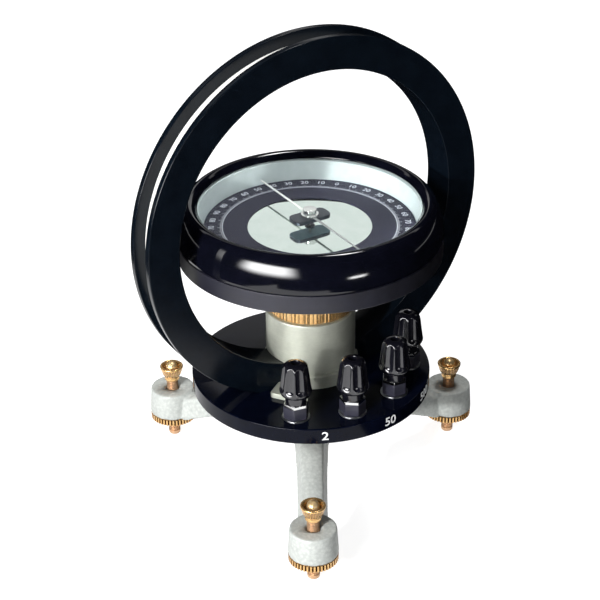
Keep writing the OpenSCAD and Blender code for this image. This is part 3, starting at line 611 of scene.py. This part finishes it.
collar = knurled(bore=15.05, radius=21.8, depth=0.2, teeth=72, low=PILLAR_TOP + 0.1, high=PILLAR_TOP + 8.1,
                 chamfer=0.5)
finish_piece("knurled_clamp_collar", collar, "clamp_collar", LACQUERED_BRASS, ["clamp_collar"],
             sharp=KNURL_SHARP, second=LACQUERED_BRASS)

# %% [markdown]
# Round profiles are drawn as arcs. A thread is one V of its profile, spun upwards by one pitch for each
# turn, so it is a real helix.

# %% Arcs and threads
PITCH, THREAD_R, THREAD_DEEP = 1.0, 3.2, 0.45


def arc(centre_r, centre_z, radius, start, end, count):
    angles = [math.radians(start + (end - start) * i / count) for i in range(count + 1)]
    return [(centre_r + radius * math.cos(a), centre_z + radius * math.sin(a)) for a in angles]


def threaded(radius, deep, pitch, low, high, steps=28):
    shape = bmesh.new()
    turns = int((high - low) / pitch)
    profile = [(radius - deep, 0.0), (radius, 0.42 * pitch), (radius, 0.58 * pitch), (radius - deep, pitch)]
    verts = [shape.verts.new((r, 0.0, low + z)) for r, z in profile]
    edges = [shape.edges.new(pair) for pair in zip(verts, verts[1:])]
    bmesh.ops.spin(shape, geom=verts + edges, cent=(0, 0, 0), axis=(0, 0, 1), dvec=(0, 0, pitch / steps),
                   angle=FULL_TURN * turns, steps=steps * turns, use_merge=False, use_duplicate=False)
    bmesh.ops.remove_doubles(shape, verts=shape.verts, dist=1e-3)
    bmesh.ops.holes_fill(shape, edges=[e for e in shape.edges if e.is_boundary], sides=0)
    bmesh.ops.recalc_face_normals(shape, faces=shape.faces)
    return shape


print("thread:", 2 * THREAD_R, "mm across, with a pitch of", PITCH, "mm")

# %% [markdown]
# Levelling feet: a threaded brass screw with a blunt tip, a flared cup with fine ribs for the fingers and
# the screw's domed end showing in it, and a knurled wheel under the boss. The dome is smoother than the
# thread, and the gaps between the ribs get the thread's darker brass as painted shade, so each has a second
# finish.

# %% Feet
CORE = THREAD_R - THREAD_DEEP - 0.1
BORE_R = 3.26
RIBS, RIB_SHARE, RIB_LOW, RIB_HIGH, RIB_R = 24, 0.94, 39.0, 42.1, 5.0
TIP = [(0, 0), (1.5, 0)] + arc(1.9, 1.3, 1.3, -72, 0, 6) + [(THREAD_R, 2.4), (CORE, 2.8), (0, 2.8)]
DOME = [(0, 38.0), (CORE, 38.0), (CORE, 40.6), (THREAD_R, 40.8)] + arc(0, 42.7, THREAD_R, 0, 90, 10)
CUP = [(BORE_R, 35.3), (3.8, 35.3), (4.05, 35.5), (4.05, 37.0), (3.9, 37.2), (3.9, 37.5), (4.8, 38.3),
       (5.3, 39.4), (5.6, 40.6), (5.8, 41.3), (6.15, 42.0)]
CUP += arc(5.6, 42.95, 0.75, -35, 155, 8) + [(4.5, 42.3), (3.7, 40.9), (BORE_R, 40.5)]
for number, angle in FEET:
    to_foot = Matrix.Translation(polar(FOOT_R, angle))
    tag = "_%d" % number
    dome = spun(DOME, 56, closed=False)
    for face in dome.faces:
        face.material_index = 1
    thread = threaded(THREAD_R, THREAD_DEEP, PITCH, 2.2, 39.4)
    screw = joined([spun(TIP, 56, closed=False), thread, dome])
    finish_piece("levelling_screw" + tag, placed(screw, to_foot), "foot" + tag, THREAD_AND_SHADE_BRASS,
                 ["foot_screw" + tag], weighted=False, second=SATIN_BRASS)
    cup = spun(CUP, 4 * RIBS)
    # The faces round the pressed rib gaps take the thread's darker brass: painted shade.
    for vert in pressed_gaps(cup, RIBS, RIB_SHARE, lambda p: RIB_LOW < p.z < RIB_HIGH and reach(p) > RIB_R):
        for face in vert.link_faces:
            face.material_index = 1
    finish_piece("flared_cup" + tag, placed(cup, to_foot), "foot" + tag, LACQUERED_BRASS,
                 ["foot_cup" + tag], second=THREAD_AND_SHADE_BRASS)
    wheel = knurled(BORE_R, radius=12.5, depth=0.9, teeth=44, low=11.5, high=15.5, chamfer=0.4)
    finish_piece("knurled_wheel" + tag, placed(wheel, to_foot), "wheel" + tag, LACQUERED_BRASS,
                 ["foot_wheel" + tag], sharp=KNURL_SHARP, second=PAINTED_SHADE_BRASS)

# %% [markdown]
# The tripod is a casting: a hub, three arms that arch down to their bosses, all run into each other with
# soft fillets. An arm's flank is extruded across, its top gets a crown, and its sides a taper and a draft.

# %% Tripod arms
ARM_HALF, ARM_H, TAPER, DRAFT = 6.7, 12.8, math.radians(5.1), math.radians(11.4)
ARCH, CROWN, STATIONS, CROWN_CUTS = 1.5, 1.4, 8, 5
BOSS_R, BOSS_TOP_R = 12.7, 11.8
BOSS_IN = FOOT_R - BOSS_R


def arm_low(x):
    share = min(1.0, max(0.0, (x - HUB_R) / (BOSS_IN - HUB_R)))
    return HUB_LOW - (HUB_LOW - STAND) * share ** ARCH


def tripod_arm():
    along = [HUB_R + (BOSS_IN - HUB_R) * i / STATIONS for i in range(STATIONS + 1)]
    along = [HUB_R / 2] + along + [FOOT_R]
    side = [(x, arm_low(x)) for x in along] + [(x, arm_low(x) + ARM_H) for x in reversed(along)]
    arm = bmesh.new()
    flank = arm.faces.new([arm.verts.new((x, -1.0, z)) for x, z in side])
    across = bmesh.ops.extrude_face_region(arm, geom=[flank])["geom"]
    far_side = [v for v in across if isinstance(v, bmesh.types.BMVert)]
    bmesh.ops.translate(arm, vec=(0, 2, 0), verts=far_side)
    over = [e for e in arm.edges if span(e, 1) > 1]
    bmesh.ops.subdivide_edges(arm, edges=over, cuts=CROWN_CUTS, use_grid_fill=True)
    for vert in arm.verts:
        if vert.co.z > arm_low(vert.co.x) + ARM_H / 2:
            vert.co.z += CROWN * (0.5 - vert.co.y ** 2)
        half = ARM_HALF + (FOOT_R - vert.co.x) * math.tan(TAPER) - (vert.co.z - STAND) * math.tan(DRAFT)
        vert.co.y *= half
    bmesh.ops.recalc_face_normals(arm, faces=arm.faces)
    return arm


solids = [slab(HUB_R, HUB_LOW, HUB_TOP, 96)]
for number, angle in FEET:
    solids.append(placed(tripod_arm(), turned(angle)))
    boss = spun([(0, STAND), (BOSS_R, STAND), (BOSS_TOP_R, BOSS_TOP), (0, BOSS_TOP)], 96, closed=False)
    solids.append(placed(boss, Matrix.Translation(polar(FOOT_R, angle))))
print("solids laid into each other:", len(solids))

# %% [markdown]
# A voxel remesh melts hub, arms and bosses into one skin, smoothing gives the fillets, and the bores are cut
# last so that they stay crisp. Each boss has a small countersink round its bore.

# %% Tripod casting
VOXEL, SMOOTH_ROUNDS, KEEP_SHARE, CAST_SHARP = 0.75, 5, 0.45, math.radians(50)
HUB_BORE, BOSS_BORE, SINK_R, SINK_LOW, SINK_TOP = 9.0, 3.7, 4.9, BOSS_TOP - 1.0, BOSS_TOP + 0.2


def melted(shape):
    holder = as_object("melt", shape)
    remesh = holder.modifiers.new("remesh", "REMESH")
    remesh.mode = "VOXEL"
    remesh.voxel_size = VOXEL
    smooth = holder.modifiers.new("smooth", "SMOOTH")
    smooth.factor = 0.5
    smooth.iterations = SMOOTH_ROUNDS
    thin = holder.modifiers.new("thin", "DECIMATE")
    thin.ratio = KEEP_SHARE
    return taken_back(holder)


casting = melted(joined(solids))
bores = [(HUB_BORE, HUB_BORE, Vector(), HUB_LOW - 5, HUB_TOP + 5)]
for number, angle in FEET:
    bores.append((BOSS_BORE, BOSS_BORE, polar(FOOT_R, angle), STAND - 5, BOSS_TOP + 5))
    bores.append((BOSS_BORE, SINK_R, polar(FOOT_R, angle), SINK_LOW, SINK_TOP))
for low_r, high_r, centre, low, high in bores:
    middle = Matrix.Translation(centre) @ raised((low + high) / 2)
    casting = boolean(casting, cone_of(low_r, high_r, high - low, 64, middle), "DIFFERENCE")
finish_piece("tripod_casting", casting, "tripod", HAMMERED_SILVER, ["tripod"],
             sharp=CAST_SHARP, weighted=False)

# %% [markdown]
# A terminal's knob is black, with nine wide flutes, a rounded top and a socket for a plug. Its top and waist
# are smooth curves through a few points, and it is spun with many steps. Then each vertex that lies inside
# the path of a ball-ended cutter is pressed in to where the cutter's surface would leave it, which gives the
# flutes their round lower ends and the arches at the top.

# %% Fluted knob
WASHER_TOP, COLLAR_TOP, CLAMP_TOP, KNOB_TOP, STUD_R = 70.3, 76.8, 78.4, 100.6, 2.05
KNOB_STEPS, FLUTES, FLUTE_W, FLUTE_DEEP, RIDGE_AT = 180, 9, 5.0, 0.9, math.radians(-94)
WIDE_R, WIDE_Z, LEAN, CUTTER_END = 8.1, 85.3, 0.122, 88.3
CUTTER_R = (FLUTE_W ** 2 / 4 + FLUTE_DEEP ** 2) / (2 * FLUTE_DEEP)
SIDE_TOP_R, SIDE_LOW_R, SIDE_TOP_Z, SIDE_LOW_Z, SIDE_STEPS = 6.75, 7.95, 96.0, 86.8, 16
SOCKET_LOW, STUD_END, NECK_R = 91.6, 87.5, 5.4


def between(p, q, r, s, t):
    bend = (2 * p - 5 * q + 4 * r - s) * t ** 2 + (3 * q - 3 * r + s - p) * t ** 3
    return 0.5 * (2 * q + (r - p) * t + bend)


def flowing(points, count):
    ends = [points[0]] + points + [points[-1]]
    curve = []
    for four in zip(ends, ends[1:], ends[2:], ends[3:]):
        for i in range(count):
            curve.append(tuple(between(*values, i / count) for values in zip(*four)))
    return curve + [points[-1]]


def fluted(radius, angle, z):
    sector = FULL_TURN / FLUTES
    off = angle % sector - sector / 2
    axis = WIDE_R - FLUTE_DEEP + CUTTER_R - (max(z, CUTTER_END) - WIDE_Z) * LEAN
    cutter = CUTTER_R ** 2 - max(0.0, CUTTER_END - z) ** 2
    inside = cutter - (axis * math.sin(off)) ** 2
    if inside <= 0:
        return radius
    return min(radius, axis * math.cos(off) - math.sqrt(inside))


def terminal_knob(ridge):
    shares = [i / SIDE_STEPS for i in range(SIDE_STEPS + 1)]
    side = [(SIDE_TOP_R + (SIDE_LOW_R - SIDE_TOP_R) * s, SIDE_TOP_Z - (SIDE_TOP_Z - SIDE_LOW_Z) * s)
            for s in shares]
    profile = [(STUD_R, SOCKET_LOW), (STUD_R, KNOB_TOP - 0.3), (2.3, KNOB_TOP)]
    profile += flowing([(2.9, KNOB_TOP), (4.3, 100.35), (5.4, 99.75), (6.1, 98.9), (6.5, 97.7), side[0]], 4)
    profile += side[1:]
    profile += flowing([(SIDE_LOW_R, 86.7), (WIDE_R, 85.6), (8.0, 84.6), (7.6, 83.7), (6.9, 83.0),
                        (6.1, 82.65), (5.6, 82.4), (NECK_R, 82.0)], 2)
    profile += [(NECK_R, CLAMP_TOP + 0.3), (NECK_R - 0.2, CLAMP_TOP), (STUD_R, CLAMP_TOP),
                (STUD_R, STUD_END), (0.0, STUD_END), (0.0, SOCKET_LOW)]
    knob = spun(profile, KNOB_STEPS)
    for vert in knob.verts:
        radius = reach(vert.co)
        if radius > 1.0:
            pressed = fluted(radius, math.atan2(vert.co.y, vert.co.x) - ridge, vert.co.z)
            vert.co.x *= pressed / radius
            vert.co.y *= pressed / radius
    bmesh.ops.recalc_face_normals(knob, faces=knob.faces)
    return knob


print("cutter radius:", round(CUTTER_R, 2), "mm")

# %% [markdown]
# Under the knob, a terminal has a washer on the disc, an insulating hexagon and a bright hexagon that clamps
# the wire. A hexagon is a cone of six sides and equal ends, with softened edges and a bore.

# %% Terminals
COLLAR_ACROSS, CLAMP_ACROSS, WASHER_R = 11.8, 11.2, 7.0


def six_sided(across, low, high, soften):
    outer_r = across / 2 / math.cos(math.pi / 6)
    middle = raised((low + high) / 2)
    shape = cone_of(outer_r, outer_r, high - low, 6, middle @ turned(math.pi / 6))
    bevelled(shape, shape.edges[:], soften, 3)
    return boolean(shape, cone_of(STUD_R, STUD_R, 3 * (high - low), 32, middle), "DIFFERENCE")


washers = []
for number, angle in TERMINALS:
    tag = "_%d" % number
    to_terminal = Matrix.Translation(polar(TERMINAL_R, angle)) @ turned(angle)
    washer = ring(STUD_R, WASHER_R, DISC_TOP, WASHER_TOP, 96)
    washers.append(placed(round_rims(washer, [(WASHER_R, WASHER_TOP, 0.25)], 3), to_terminal))
    collar = six_sided(COLLAR_ACROSS, WASHER_TOP, COLLAR_TOP, 0.5)
    finish_piece("insulating_collar" + tag, placed(collar, to_terminal), "turntable", COLLAR_BLACK,
                 ["terminal_collar" + tag])
    clamp = six_sided(CLAMP_ACROSS, COLLAR_TOP, CLAMP_TOP, 0.15)
    finish_piece("bright_clamp" + tag, placed(clamp, to_terminal), "terminal" + tag + "_clamp",
                 BRIGHT_NICKEL, ["clamp_plate" + tag])
    knob = placed(terminal_knob(RIDGE_AT - angle), to_terminal)
    finish_piece("fluted_knob" + tag, knob, "terminal" + tag + "_knob", KNOB_BLACK,
                 ["terminal_knob" + tag], sharp=CAST_SHARP)
finish_piece("bright_washers", joined(washers), "turntable", SCREW_STEEL,
             ["terminal_washers"])

# %% [markdown]
# The compass box: a stem, a bowl with a plain satin band, and a big rounded bezel that reaches over the
# glass. All are turned shapes, so all are spun. The bezel's roll is a smooth curve through a few points.

# %% Compass box
BOX_STEPS, STEM_R, STEM_LOW, FLANGE_R, FLANGE_LOW = 256, 15, 88.6, 26, 133.2
BOWL_TOP, BOWL_BORE, BOWL_FLOOR, SKIRT_R = BOX_RIM - 0.35, 55, 140.2, 57.8
stem = spun([(0, STEM_LOW), (12, STEM_LOW), (12, PILLAR_TOP), (STEM_R, PILLAR_TOP), (STEM_R, FLANGE_LOW),
             (FLANGE_R, FLANGE_LOW), (FLANGE_R, BOX_LOW), (0, BOX_LOW)], 128, closed=False)
round_rims(stem, [(FLANGE_R, FLANGE_LOW, 0.6)], 3)
finish_piece("box_stem", stem, "compass_box", SATIN_BLACK, ["compass_stem"])
bowl = spun([(0, BOX_LOW), (BOX_R, BOX_LOW), (BOX_R, BOWL_TOP), (BOWL_BORE, BOWL_TOP),
             (BOWL_BORE, BOWL_FLOOR), (0, BOWL_FLOOR)], BOX_STEPS, closed=False)
round_rims(bowl, [(BOX_R, BOX_LOW, 0.8), (BOX_R, BOWL_TOP, 0.3)], 3)
finish_piece("compass_bowl_band", bowl, "compass_box", SATIN_BLACK, ["compass_bowl"])
BEZEL_ROLL = [(66.9, 148.3), (66.75, 151.0), (66.35, 154.0), (65.65, 157.0), (64.7, 159.8), (63.5, 162.2),
              (62.2, 163.9), (60.8, 164.95), (59.4, 165.25), (58.1, 164.85), (57.0, 164.0), (56.2, 163.1),
              (55.75, 162.55)]
bezel = spun([(SKIRT_R, BOX_RIM), (BOX_R - 0.6, BOX_RIM), (BOX_R - 0.1, BOX_RIM + 0.3),
              (BOX_R - 0.1, BOX_RIM + 0.7)] + flowing(BEZEL_ROLL, 4)
             + [(LIP_R, LIP_Z), (SKIRT_R, LIP_Z)], BOX_STEPS)
finish_piece("rounded_bezel", bezel, "compass_box", POLISHED_BLACK, ["bezel"])

# %% [markdown]
# Inside the box: a pale sloping wall, the dial ring, the mirror that the needle is read against, and the
# cover glass. These too are spun, with a narrow bevel where ring and mirror catch the light.

# %% Wall, dial, mirror and glass
WALL_R, WALL_TOP, DIAL_BORE, POST_HOLE, GLASS_R, GLASS_LOW = 57.7, 160.6, MIRROR_R + 0.1, 2.6, 57.65, 160.62
wall = spun([(DIAL_R + 0.1, BED_Z), (WALL_R, BED_Z), (WALL_R, WALL_TOP), (DIAL_R + 2.1, WALL_TOP)],
            BOX_STEPS)
finish_piece("pale_wall_ring", wall, "compass_box", PALE_WALL, ["wall_liner"])
dial = ring(DIAL_BORE, DIAL_R, BED_Z, DIAL_Z, BOX_STEPS)
round_rims(dial, [(DIAL_BORE, DIAL_Z, 0.25)], 2)
finish_piece("dial_ring_plate", dial, "compass_box", SLATE_PAINT, ["dial_ring"])
mirror = ring(POST_HOLE, MIRROR_R, BED_Z, MIRROR_Z, BOX_STEPS)
round_rims(mirror, [(MIRROR_R, MIRROR_Z, 0.3)], 2)
finish_piece("mirror_disc", mirror, "compass_box", SILVERED_GLASS, ["dial_mirror"])
glass = slab(GLASS_R, GLASS_LOW, LIP_Z - 0.02, 128)
finish_piece("cover_glass_disc", glass, "compass_box", CLEAR_GLASS, ["cover_glass"],
             weighted=False)

# %% [markdown]
# The graduation: a tick for every degree, longer ones at five and ten, a thin circle under them, and figures
# from nought to ninety in each quadrant, upright when read from the middle. All lie a hair above the paint.

# %% Graduation
ZERO_AT, CIRCLE_R, LINE_HALF, TICK_W, INK = math.radians(72.7), 43.6, 0.13, 0.2, 0.02
FIGURE_R, FIGURE_SIZE = 49.0, 4.3
marks = [ring(CIRCLE_R - LINE_HALF, CIRCLE_R + LINE_HALF, DIAL_Z + 0.004, DIAL_Z + INK, 180)]
for degree in range(360):
    length = 2.6 if degree % 10 == 0 else 2.0 if degree % 5 == 0 else 1.3
    out = Matrix.Translation((CIRCLE_R + length / 2, 0, DIAL_Z + INK / 2 + 0.002))
    tick = cube_of(length, TICK_W, INK - 0.004)
    marks.append(placed(tick, turned(ZERO_AT + math.radians(degree)) @ out))
for degree in range(0, 360, 10):
    folded = degree % 180
    figure = text_shape(str(folded if folded <= 90 else 180 - folded), FIGURE_SIZE, INK / 2)
    angle = ZERO_AT - math.radians(degree)
    spot = Matrix.Translation(polar(FIGURE_R, angle, DIAL_Z + INK / 2 + 0.003))
    marks.append(placed(figure, spot @ turned(angle - math.pi / 2)))
finish_piece("dial_figures", joined(marks), "compass_box", FIGURE_PAINT, weighted=False)

# %% [markdown]
# The needle: a flat blued magnet with cut corners, a thin bright pointer across it, and a silvered cap that
# holds the jewel. The pointer is long and light so that the dial can be read against its mirror image.

# %% Needle
MAGNET_L, MAGNET_W, MAGNET_T, MAGNET_CUT = 20.5, 10.0, 2.0, 3.0
POINTER_L, POINTER_W, POINTER_T, POINTER_TAPER = 95.0, 1.3, 0.4, 0.35
magnet = cube_of(MAGNET_L, MAGNET_W, MAGNET_T)
magnet.normal_update()
bevelled(magnet, [e for e in magnet.edges if span(e, 2) > 1], MAGNET_CUT, 3)
bevelled(magnet, magnet.edges[:], 0.15, 2)
# Downward faces take the second finish, which is painted light from the mirror.
for face in magnet.faces:
    face.material_index = int(face.normal.z < -0.9)
placed(magnet, raised(MAGNET_Z + MAGNET_T / 2) @ turned(RING_TURN))
finish_piece("blued_magnet", magnet, "needle", BLUED_STEEL, ["needle_magnet"],
             second=MIRROR_LIGHT_STEEL)
pointer = cube_of(POINTER_L, POINTER_W, POINTER_T)
bmesh.ops.subdivide_edges(pointer, edges=[e for e in pointer.edges if span(e, 0) > POINTER_L / 2], cuts=7)
for vert in pointer.verts:
    vert.co.y *= 1.0 - POINTER_TAPER * abs(vert.co.x) / (POINTER_L / 2)
# The half on the positive side gets the second finish, painted darker as shade.
for face in pointer.faces:
    face.material_index = int(face.calc_center_median().x > 0)
placed(pointer, raised(POINTER_Z + POINTER_T / 2) @ turned(AXIS_TURN))
finish_piece("long_pointer", pointer, "needle", POINTER_STRIP, ["needle_pointer"],
             second=PAINTED_SHADE_STRIP)
BRIM_R, CROWN_R, BRIM_TOP = 4.5, 3.5, CAP_Z + 0.8
cap = spun([(0, CAP_Z), (BRIM_R, CAP_Z), (BRIM_R, BRIM_TOP), (CROWN_R, CAP_Z + 0.9), (3.3, CAP_Z + 1.6),
            (CROWN_R, CAP_TOP - 0.6), (CROWN_R, CAP_TOP), (0, CAP_TOP)], 64, closed=False)
round_rims(cap, [(BRIM_R, BRIM_TOP, 0.25), (CROWN_R, CAP_TOP, 0.4)], 3)
finish_piece("silvered_cap", cap, "needle", BRIGHT_NICKEL, ["jewel_cap"])

# %% [markdown]
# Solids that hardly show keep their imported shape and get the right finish: spindle, bush, washers, nuts,
# studs, tags, leads, windings, the dial's bed, the pivot and the jewel.

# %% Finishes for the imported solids
KEPT = [(PRESSED_FIBRE, ["thrust_washer"]),
        (LACQUERED_BRASS, ["spindle_bush", "spindle_nut", "terminal_studs", "terminal_nuts"]),
        (BLUED_STEEL, ["pivot_post"]),
        (SCREW_STEEL, ["spindle", "spindle_screws", "spindle_washer", "stem_screws", "pivot_pin"]),
        (ENAMELLED_COPPER, ["winding_500", "winding_50", "winding_2", "coil_leads"]),
        (BRIGHT_NICKEL, ["terminal_tags"]), (SATIN_ALUMINIUM, ["dial_bed"]), (RUBY, ["jewel"])]
for material, names in KEPT:
    for name in names:
        NODES[name].data.materials.clear()
        NODES[name].data.materials.append(material)
    print(material.name, "on", ", ".join(names))

# %% [markdown]
# The floor and the world: both are white to the camera and in reflections, and the floor still takes a soft
# shadow. All other light rays find a dim grey room, so that the white lights nothing by itself.

# %% Floor and world
FLOOR_HALF, FLOOR_GLOW, ROOM_LIGHT = 6.0, 0.88, 0.24


def light_rays(tree):
    path = add_node(tree, "LightPath", "Is Camera Ray").node.outputs
    first = add_node(tree, "Math", "Value", {
        0: path["Is Camera Ray"], 1: path["Is Glossy Ray"]}, operation="MAXIMUM")
    return add_node(tree, "Math", "Value", {0: first, 1: path["Is Transmission Ray"]}, operation="MAXIMUM")


floor_shape = bmesh.new()
bmesh.ops.create_grid(floor_shape, x_segments=1, y_segments=1, size=FLOOR_HALF)
floor = as_object("studio_floor", floor_shape)
floor_material, floor_tree, floor_shader = new_material(
    "pale_floor", Base_Color=linear("#b8b8b8"), Roughness=0.9, Specular_IOR_Level=0.0)
matt_floor = floor_shader.outputs["BSDF"]
glow = add_node(floor_tree, "Emission", "Emission", {"Strength": FLOOR_GLOW})
lifted = add_node(floor_tree, "AddShader", "Shader", {0: matt_floor, 1: glow})
chosen = add_node(floor_tree, "MixShader", "Shader", {
    "Fac": light_rays(floor_tree), 1: matt_floor, 2: lifted})
set_inputs(floor_tree, floor_tree.nodes["Material Output"], {"Surface": chosen})
floor.data.materials.append(floor_material)

world = bpy.data.worlds.new("studio")
bpy.context.scene.world = world
world.use_nodes = True
world_tree = world.node_tree
room_light = world_tree.nodes["Background"]
set_inputs(world_tree, room_light, {"Color": linear("#dddfe2"), "Strength": ROOM_LIGHT})
white_back = add_node(world_tree, "Background", "Background", {"Color": (1, 1, 1, 1), "Strength": 1.0})
back_or_room = add_node(world_tree, "MixShader", "Shader", {
    "Fac": light_rays(world_tree), 1: room_light.outputs["Background"], 2: white_back})
set_inputs(world_tree, world_tree.nodes["World Output"], {"Surface": back_or_room})
print("floor and world stand ready")

# %% [markdown]
# The lamps: a soft window and a small hard lamp from the front left, and a soft box overhead. The first two
# don't show in reflections, so what the polished blacks mirror is left to the overhead box and to cards.

# %% Lamps
AIM = Vector((0, 0, 0.13))


def soft_box(name, direction, distance, width, height, radiance):
    lamp = bpy.data.lights.new(name, "AREA")
    lamp.shape = "RECTANGLE"
    lamp.size = width
    lamp.size_y = height
    lamp.energy = radiance * math.pi * width * height
    holder = linked(name, lamp)
    holder.location = AIM + Vector(direction).normalized() * distance
    holder.rotation_euler = (holder.location - AIM).to_track_quat("Z", "Y").to_euler()
    print(name, "gives", round(lamp.energy, 1), "watts")
    return holder


soft_box("key_window", (-0.44, -0.73, 0.53), 1.5, 0.5, 0.4, 24.0).visible_glossy = False
soft_box("hard_lamp", (-0.554, -0.791, 0.259), 1.5, 0.05, 0.05, 2700.0).visible_glossy = False
soft_box("top_box", (0.19, 0.24, 0.945), 1.3, 0.28, 0.2, 36.0)

# %% [markdown]
# Black cards close the room for mirrored rays only, which keeps the black parts deep. A slot is left open at
# the back, and the floor stays bare round the feet. Two bright cards give the polished bezel its highlights.
# They fade towards their edges, as a window does behind a curtain, so that no hard rectangle shows.

# %% Cards
SIDE, BACK, HIGH, SLOT_LOW, SLOT_TOP, SLOT_SIDE, BARE_BACK = 2.2, 1.7, 1.9, 0.75, 1.07, 0.5, 0.13
BLACK_CARDS = {
    "ceiling_card": ((-SIDE, -SIDE, 1.7), (SIDE, 1.2, 1.7)),
    "front_card": ((-SIDE, -SIDE, 0.0), (SIDE, -SIDE, HIGH)),
    "left_card": ((-SIDE, -SIDE, 0.0), (-SIDE, BACK, HIGH)),
    "right_card": ((SIDE, -SIDE, 0.0), (SIDE, BACK, HIGH)),
    "floor_left": ((-SIDE, -SIDE, 0.001), (-0.3, BARE_BACK, 0.001)),
    "floor_right": ((0.1, -SIDE, 0.002), (SIDE, BARE_BACK, 0.002)),
    "floor_back": ((-1.6, BARE_BACK, 0.002), (1.6, BACK, 0.002)),
    "back_card": ((-SIDE, BACK, 0.0), (SIDE, BACK, SLOT_LOW)),
    "left_gap_card": ((-SIDE, BACK - 0.01, SLOT_LOW), (-SLOT_SIDE, BACK - 0.01, SLOT_TOP)),
    "right_gap_card": ((SLOT_SIDE, BACK - 0.01, SLOT_LOW), (SIDE, BACK - 0.01, SLOT_TOP)),
    "high_back_card": ((-SIDE, BACK, SLOT_TOP), (SIDE, BACK, HIGH))}
FRONT_CARD = [(-1.1, -SIDE, 0.003), (0.2, -SIDE, 0.003), (0.2, -0.42, 0.003), (-0.2, -0.42, 0.003)]


def faded(tree, glow, centre, *half_spans):
    place = add_node(tree, "TexCoord", "Object")
    offset = add_node(tree, "VectorMath", "Vector", {0: place, 1: centre}, operation="SUBTRACT")
    strength = glow
    for half in half_spans:
        along = add_node(tree, "VectorMath", "Value", {
            0: offset, 1: half / half.length_squared}, operation="DOT_PRODUCT")
        strength = add_node(tree, "MapRange", "Result", {
            "Value": add_node(tree, "Math", "Value", {0: along}, operation="ABSOLUTE"), "From Min": 0.35,
            "From Max": 1.0, "To Min": strength, "To Max": 0.0}, interpolation_type="SMOOTHSTEP")
    return strength


def stage_card(name, corners, glow=0.0, fade=None):
    shape = bmesh.new()
    shape.faces.new([shape.verts.new(c) for c in corners])
    card = as_object(name, shape)
    cloth, tree, principled = new_material(
        name, Base_Color=linear("#0a0a0c"), Roughness=1.0, Specular_IOR_Level=0.0,
        Emission_Color=(1.0, 1.0, 1.0, 1.0), Emission_Strength=glow)
    if fade:
        set_inputs(tree, principled, {"Emission Strength": faded(tree, glow, *fade)})
    card.data.materials.append(cloth)
    card.visible_camera = False
    card.visible_diffuse = False
    card.visible_shadow = False
    card.visible_transmission = False


def bright_card(name, centre, across, upward, glow):
    stage_card(name, [centre - across - upward, centre + across - upward, centre + across + upward,
                      centre - across + upward], glow, (centre, across, upward))


for name, (low, high) in BLACK_CARDS.items():
    if low[2] == high[2]:
        corners = [low, (high[0], low[1], low[2]), high, (low[0], high[1], low[2])]
    else:
        corners = [low, (high[0], high[1], low[2]), high, (low[0], low[1], high[2])]
    stage_card(name, corners)
stage_card("floor_front", FRONT_CARD)
bright_card("window_card", Vector((-0.55, -0.79, 0.21)).normalized() * 1.5 + Vector((0.0, 0.0, 0.15)),
            Vector((0.82, -0.57, 0.0)) * 0.75, Vector((-0.16, -0.23, 0.96)) * 0.42, 28.0)
bright_card("low_strip", Vector((0.72, -0.95, 0.055)), Vector((0.8, 0.6, 0.0)) * 0.2,
            Vector((0.0, 0.0, 0.05)), 24.0)
print("black cards:", len(BLACK_CARDS) + 1)

# %% [markdown]
# Last, the view is kept plain.

# %% Finish
bpy.context.scene.view_settings.view_transform = "Standard"
bpy.context.view_layer.update()
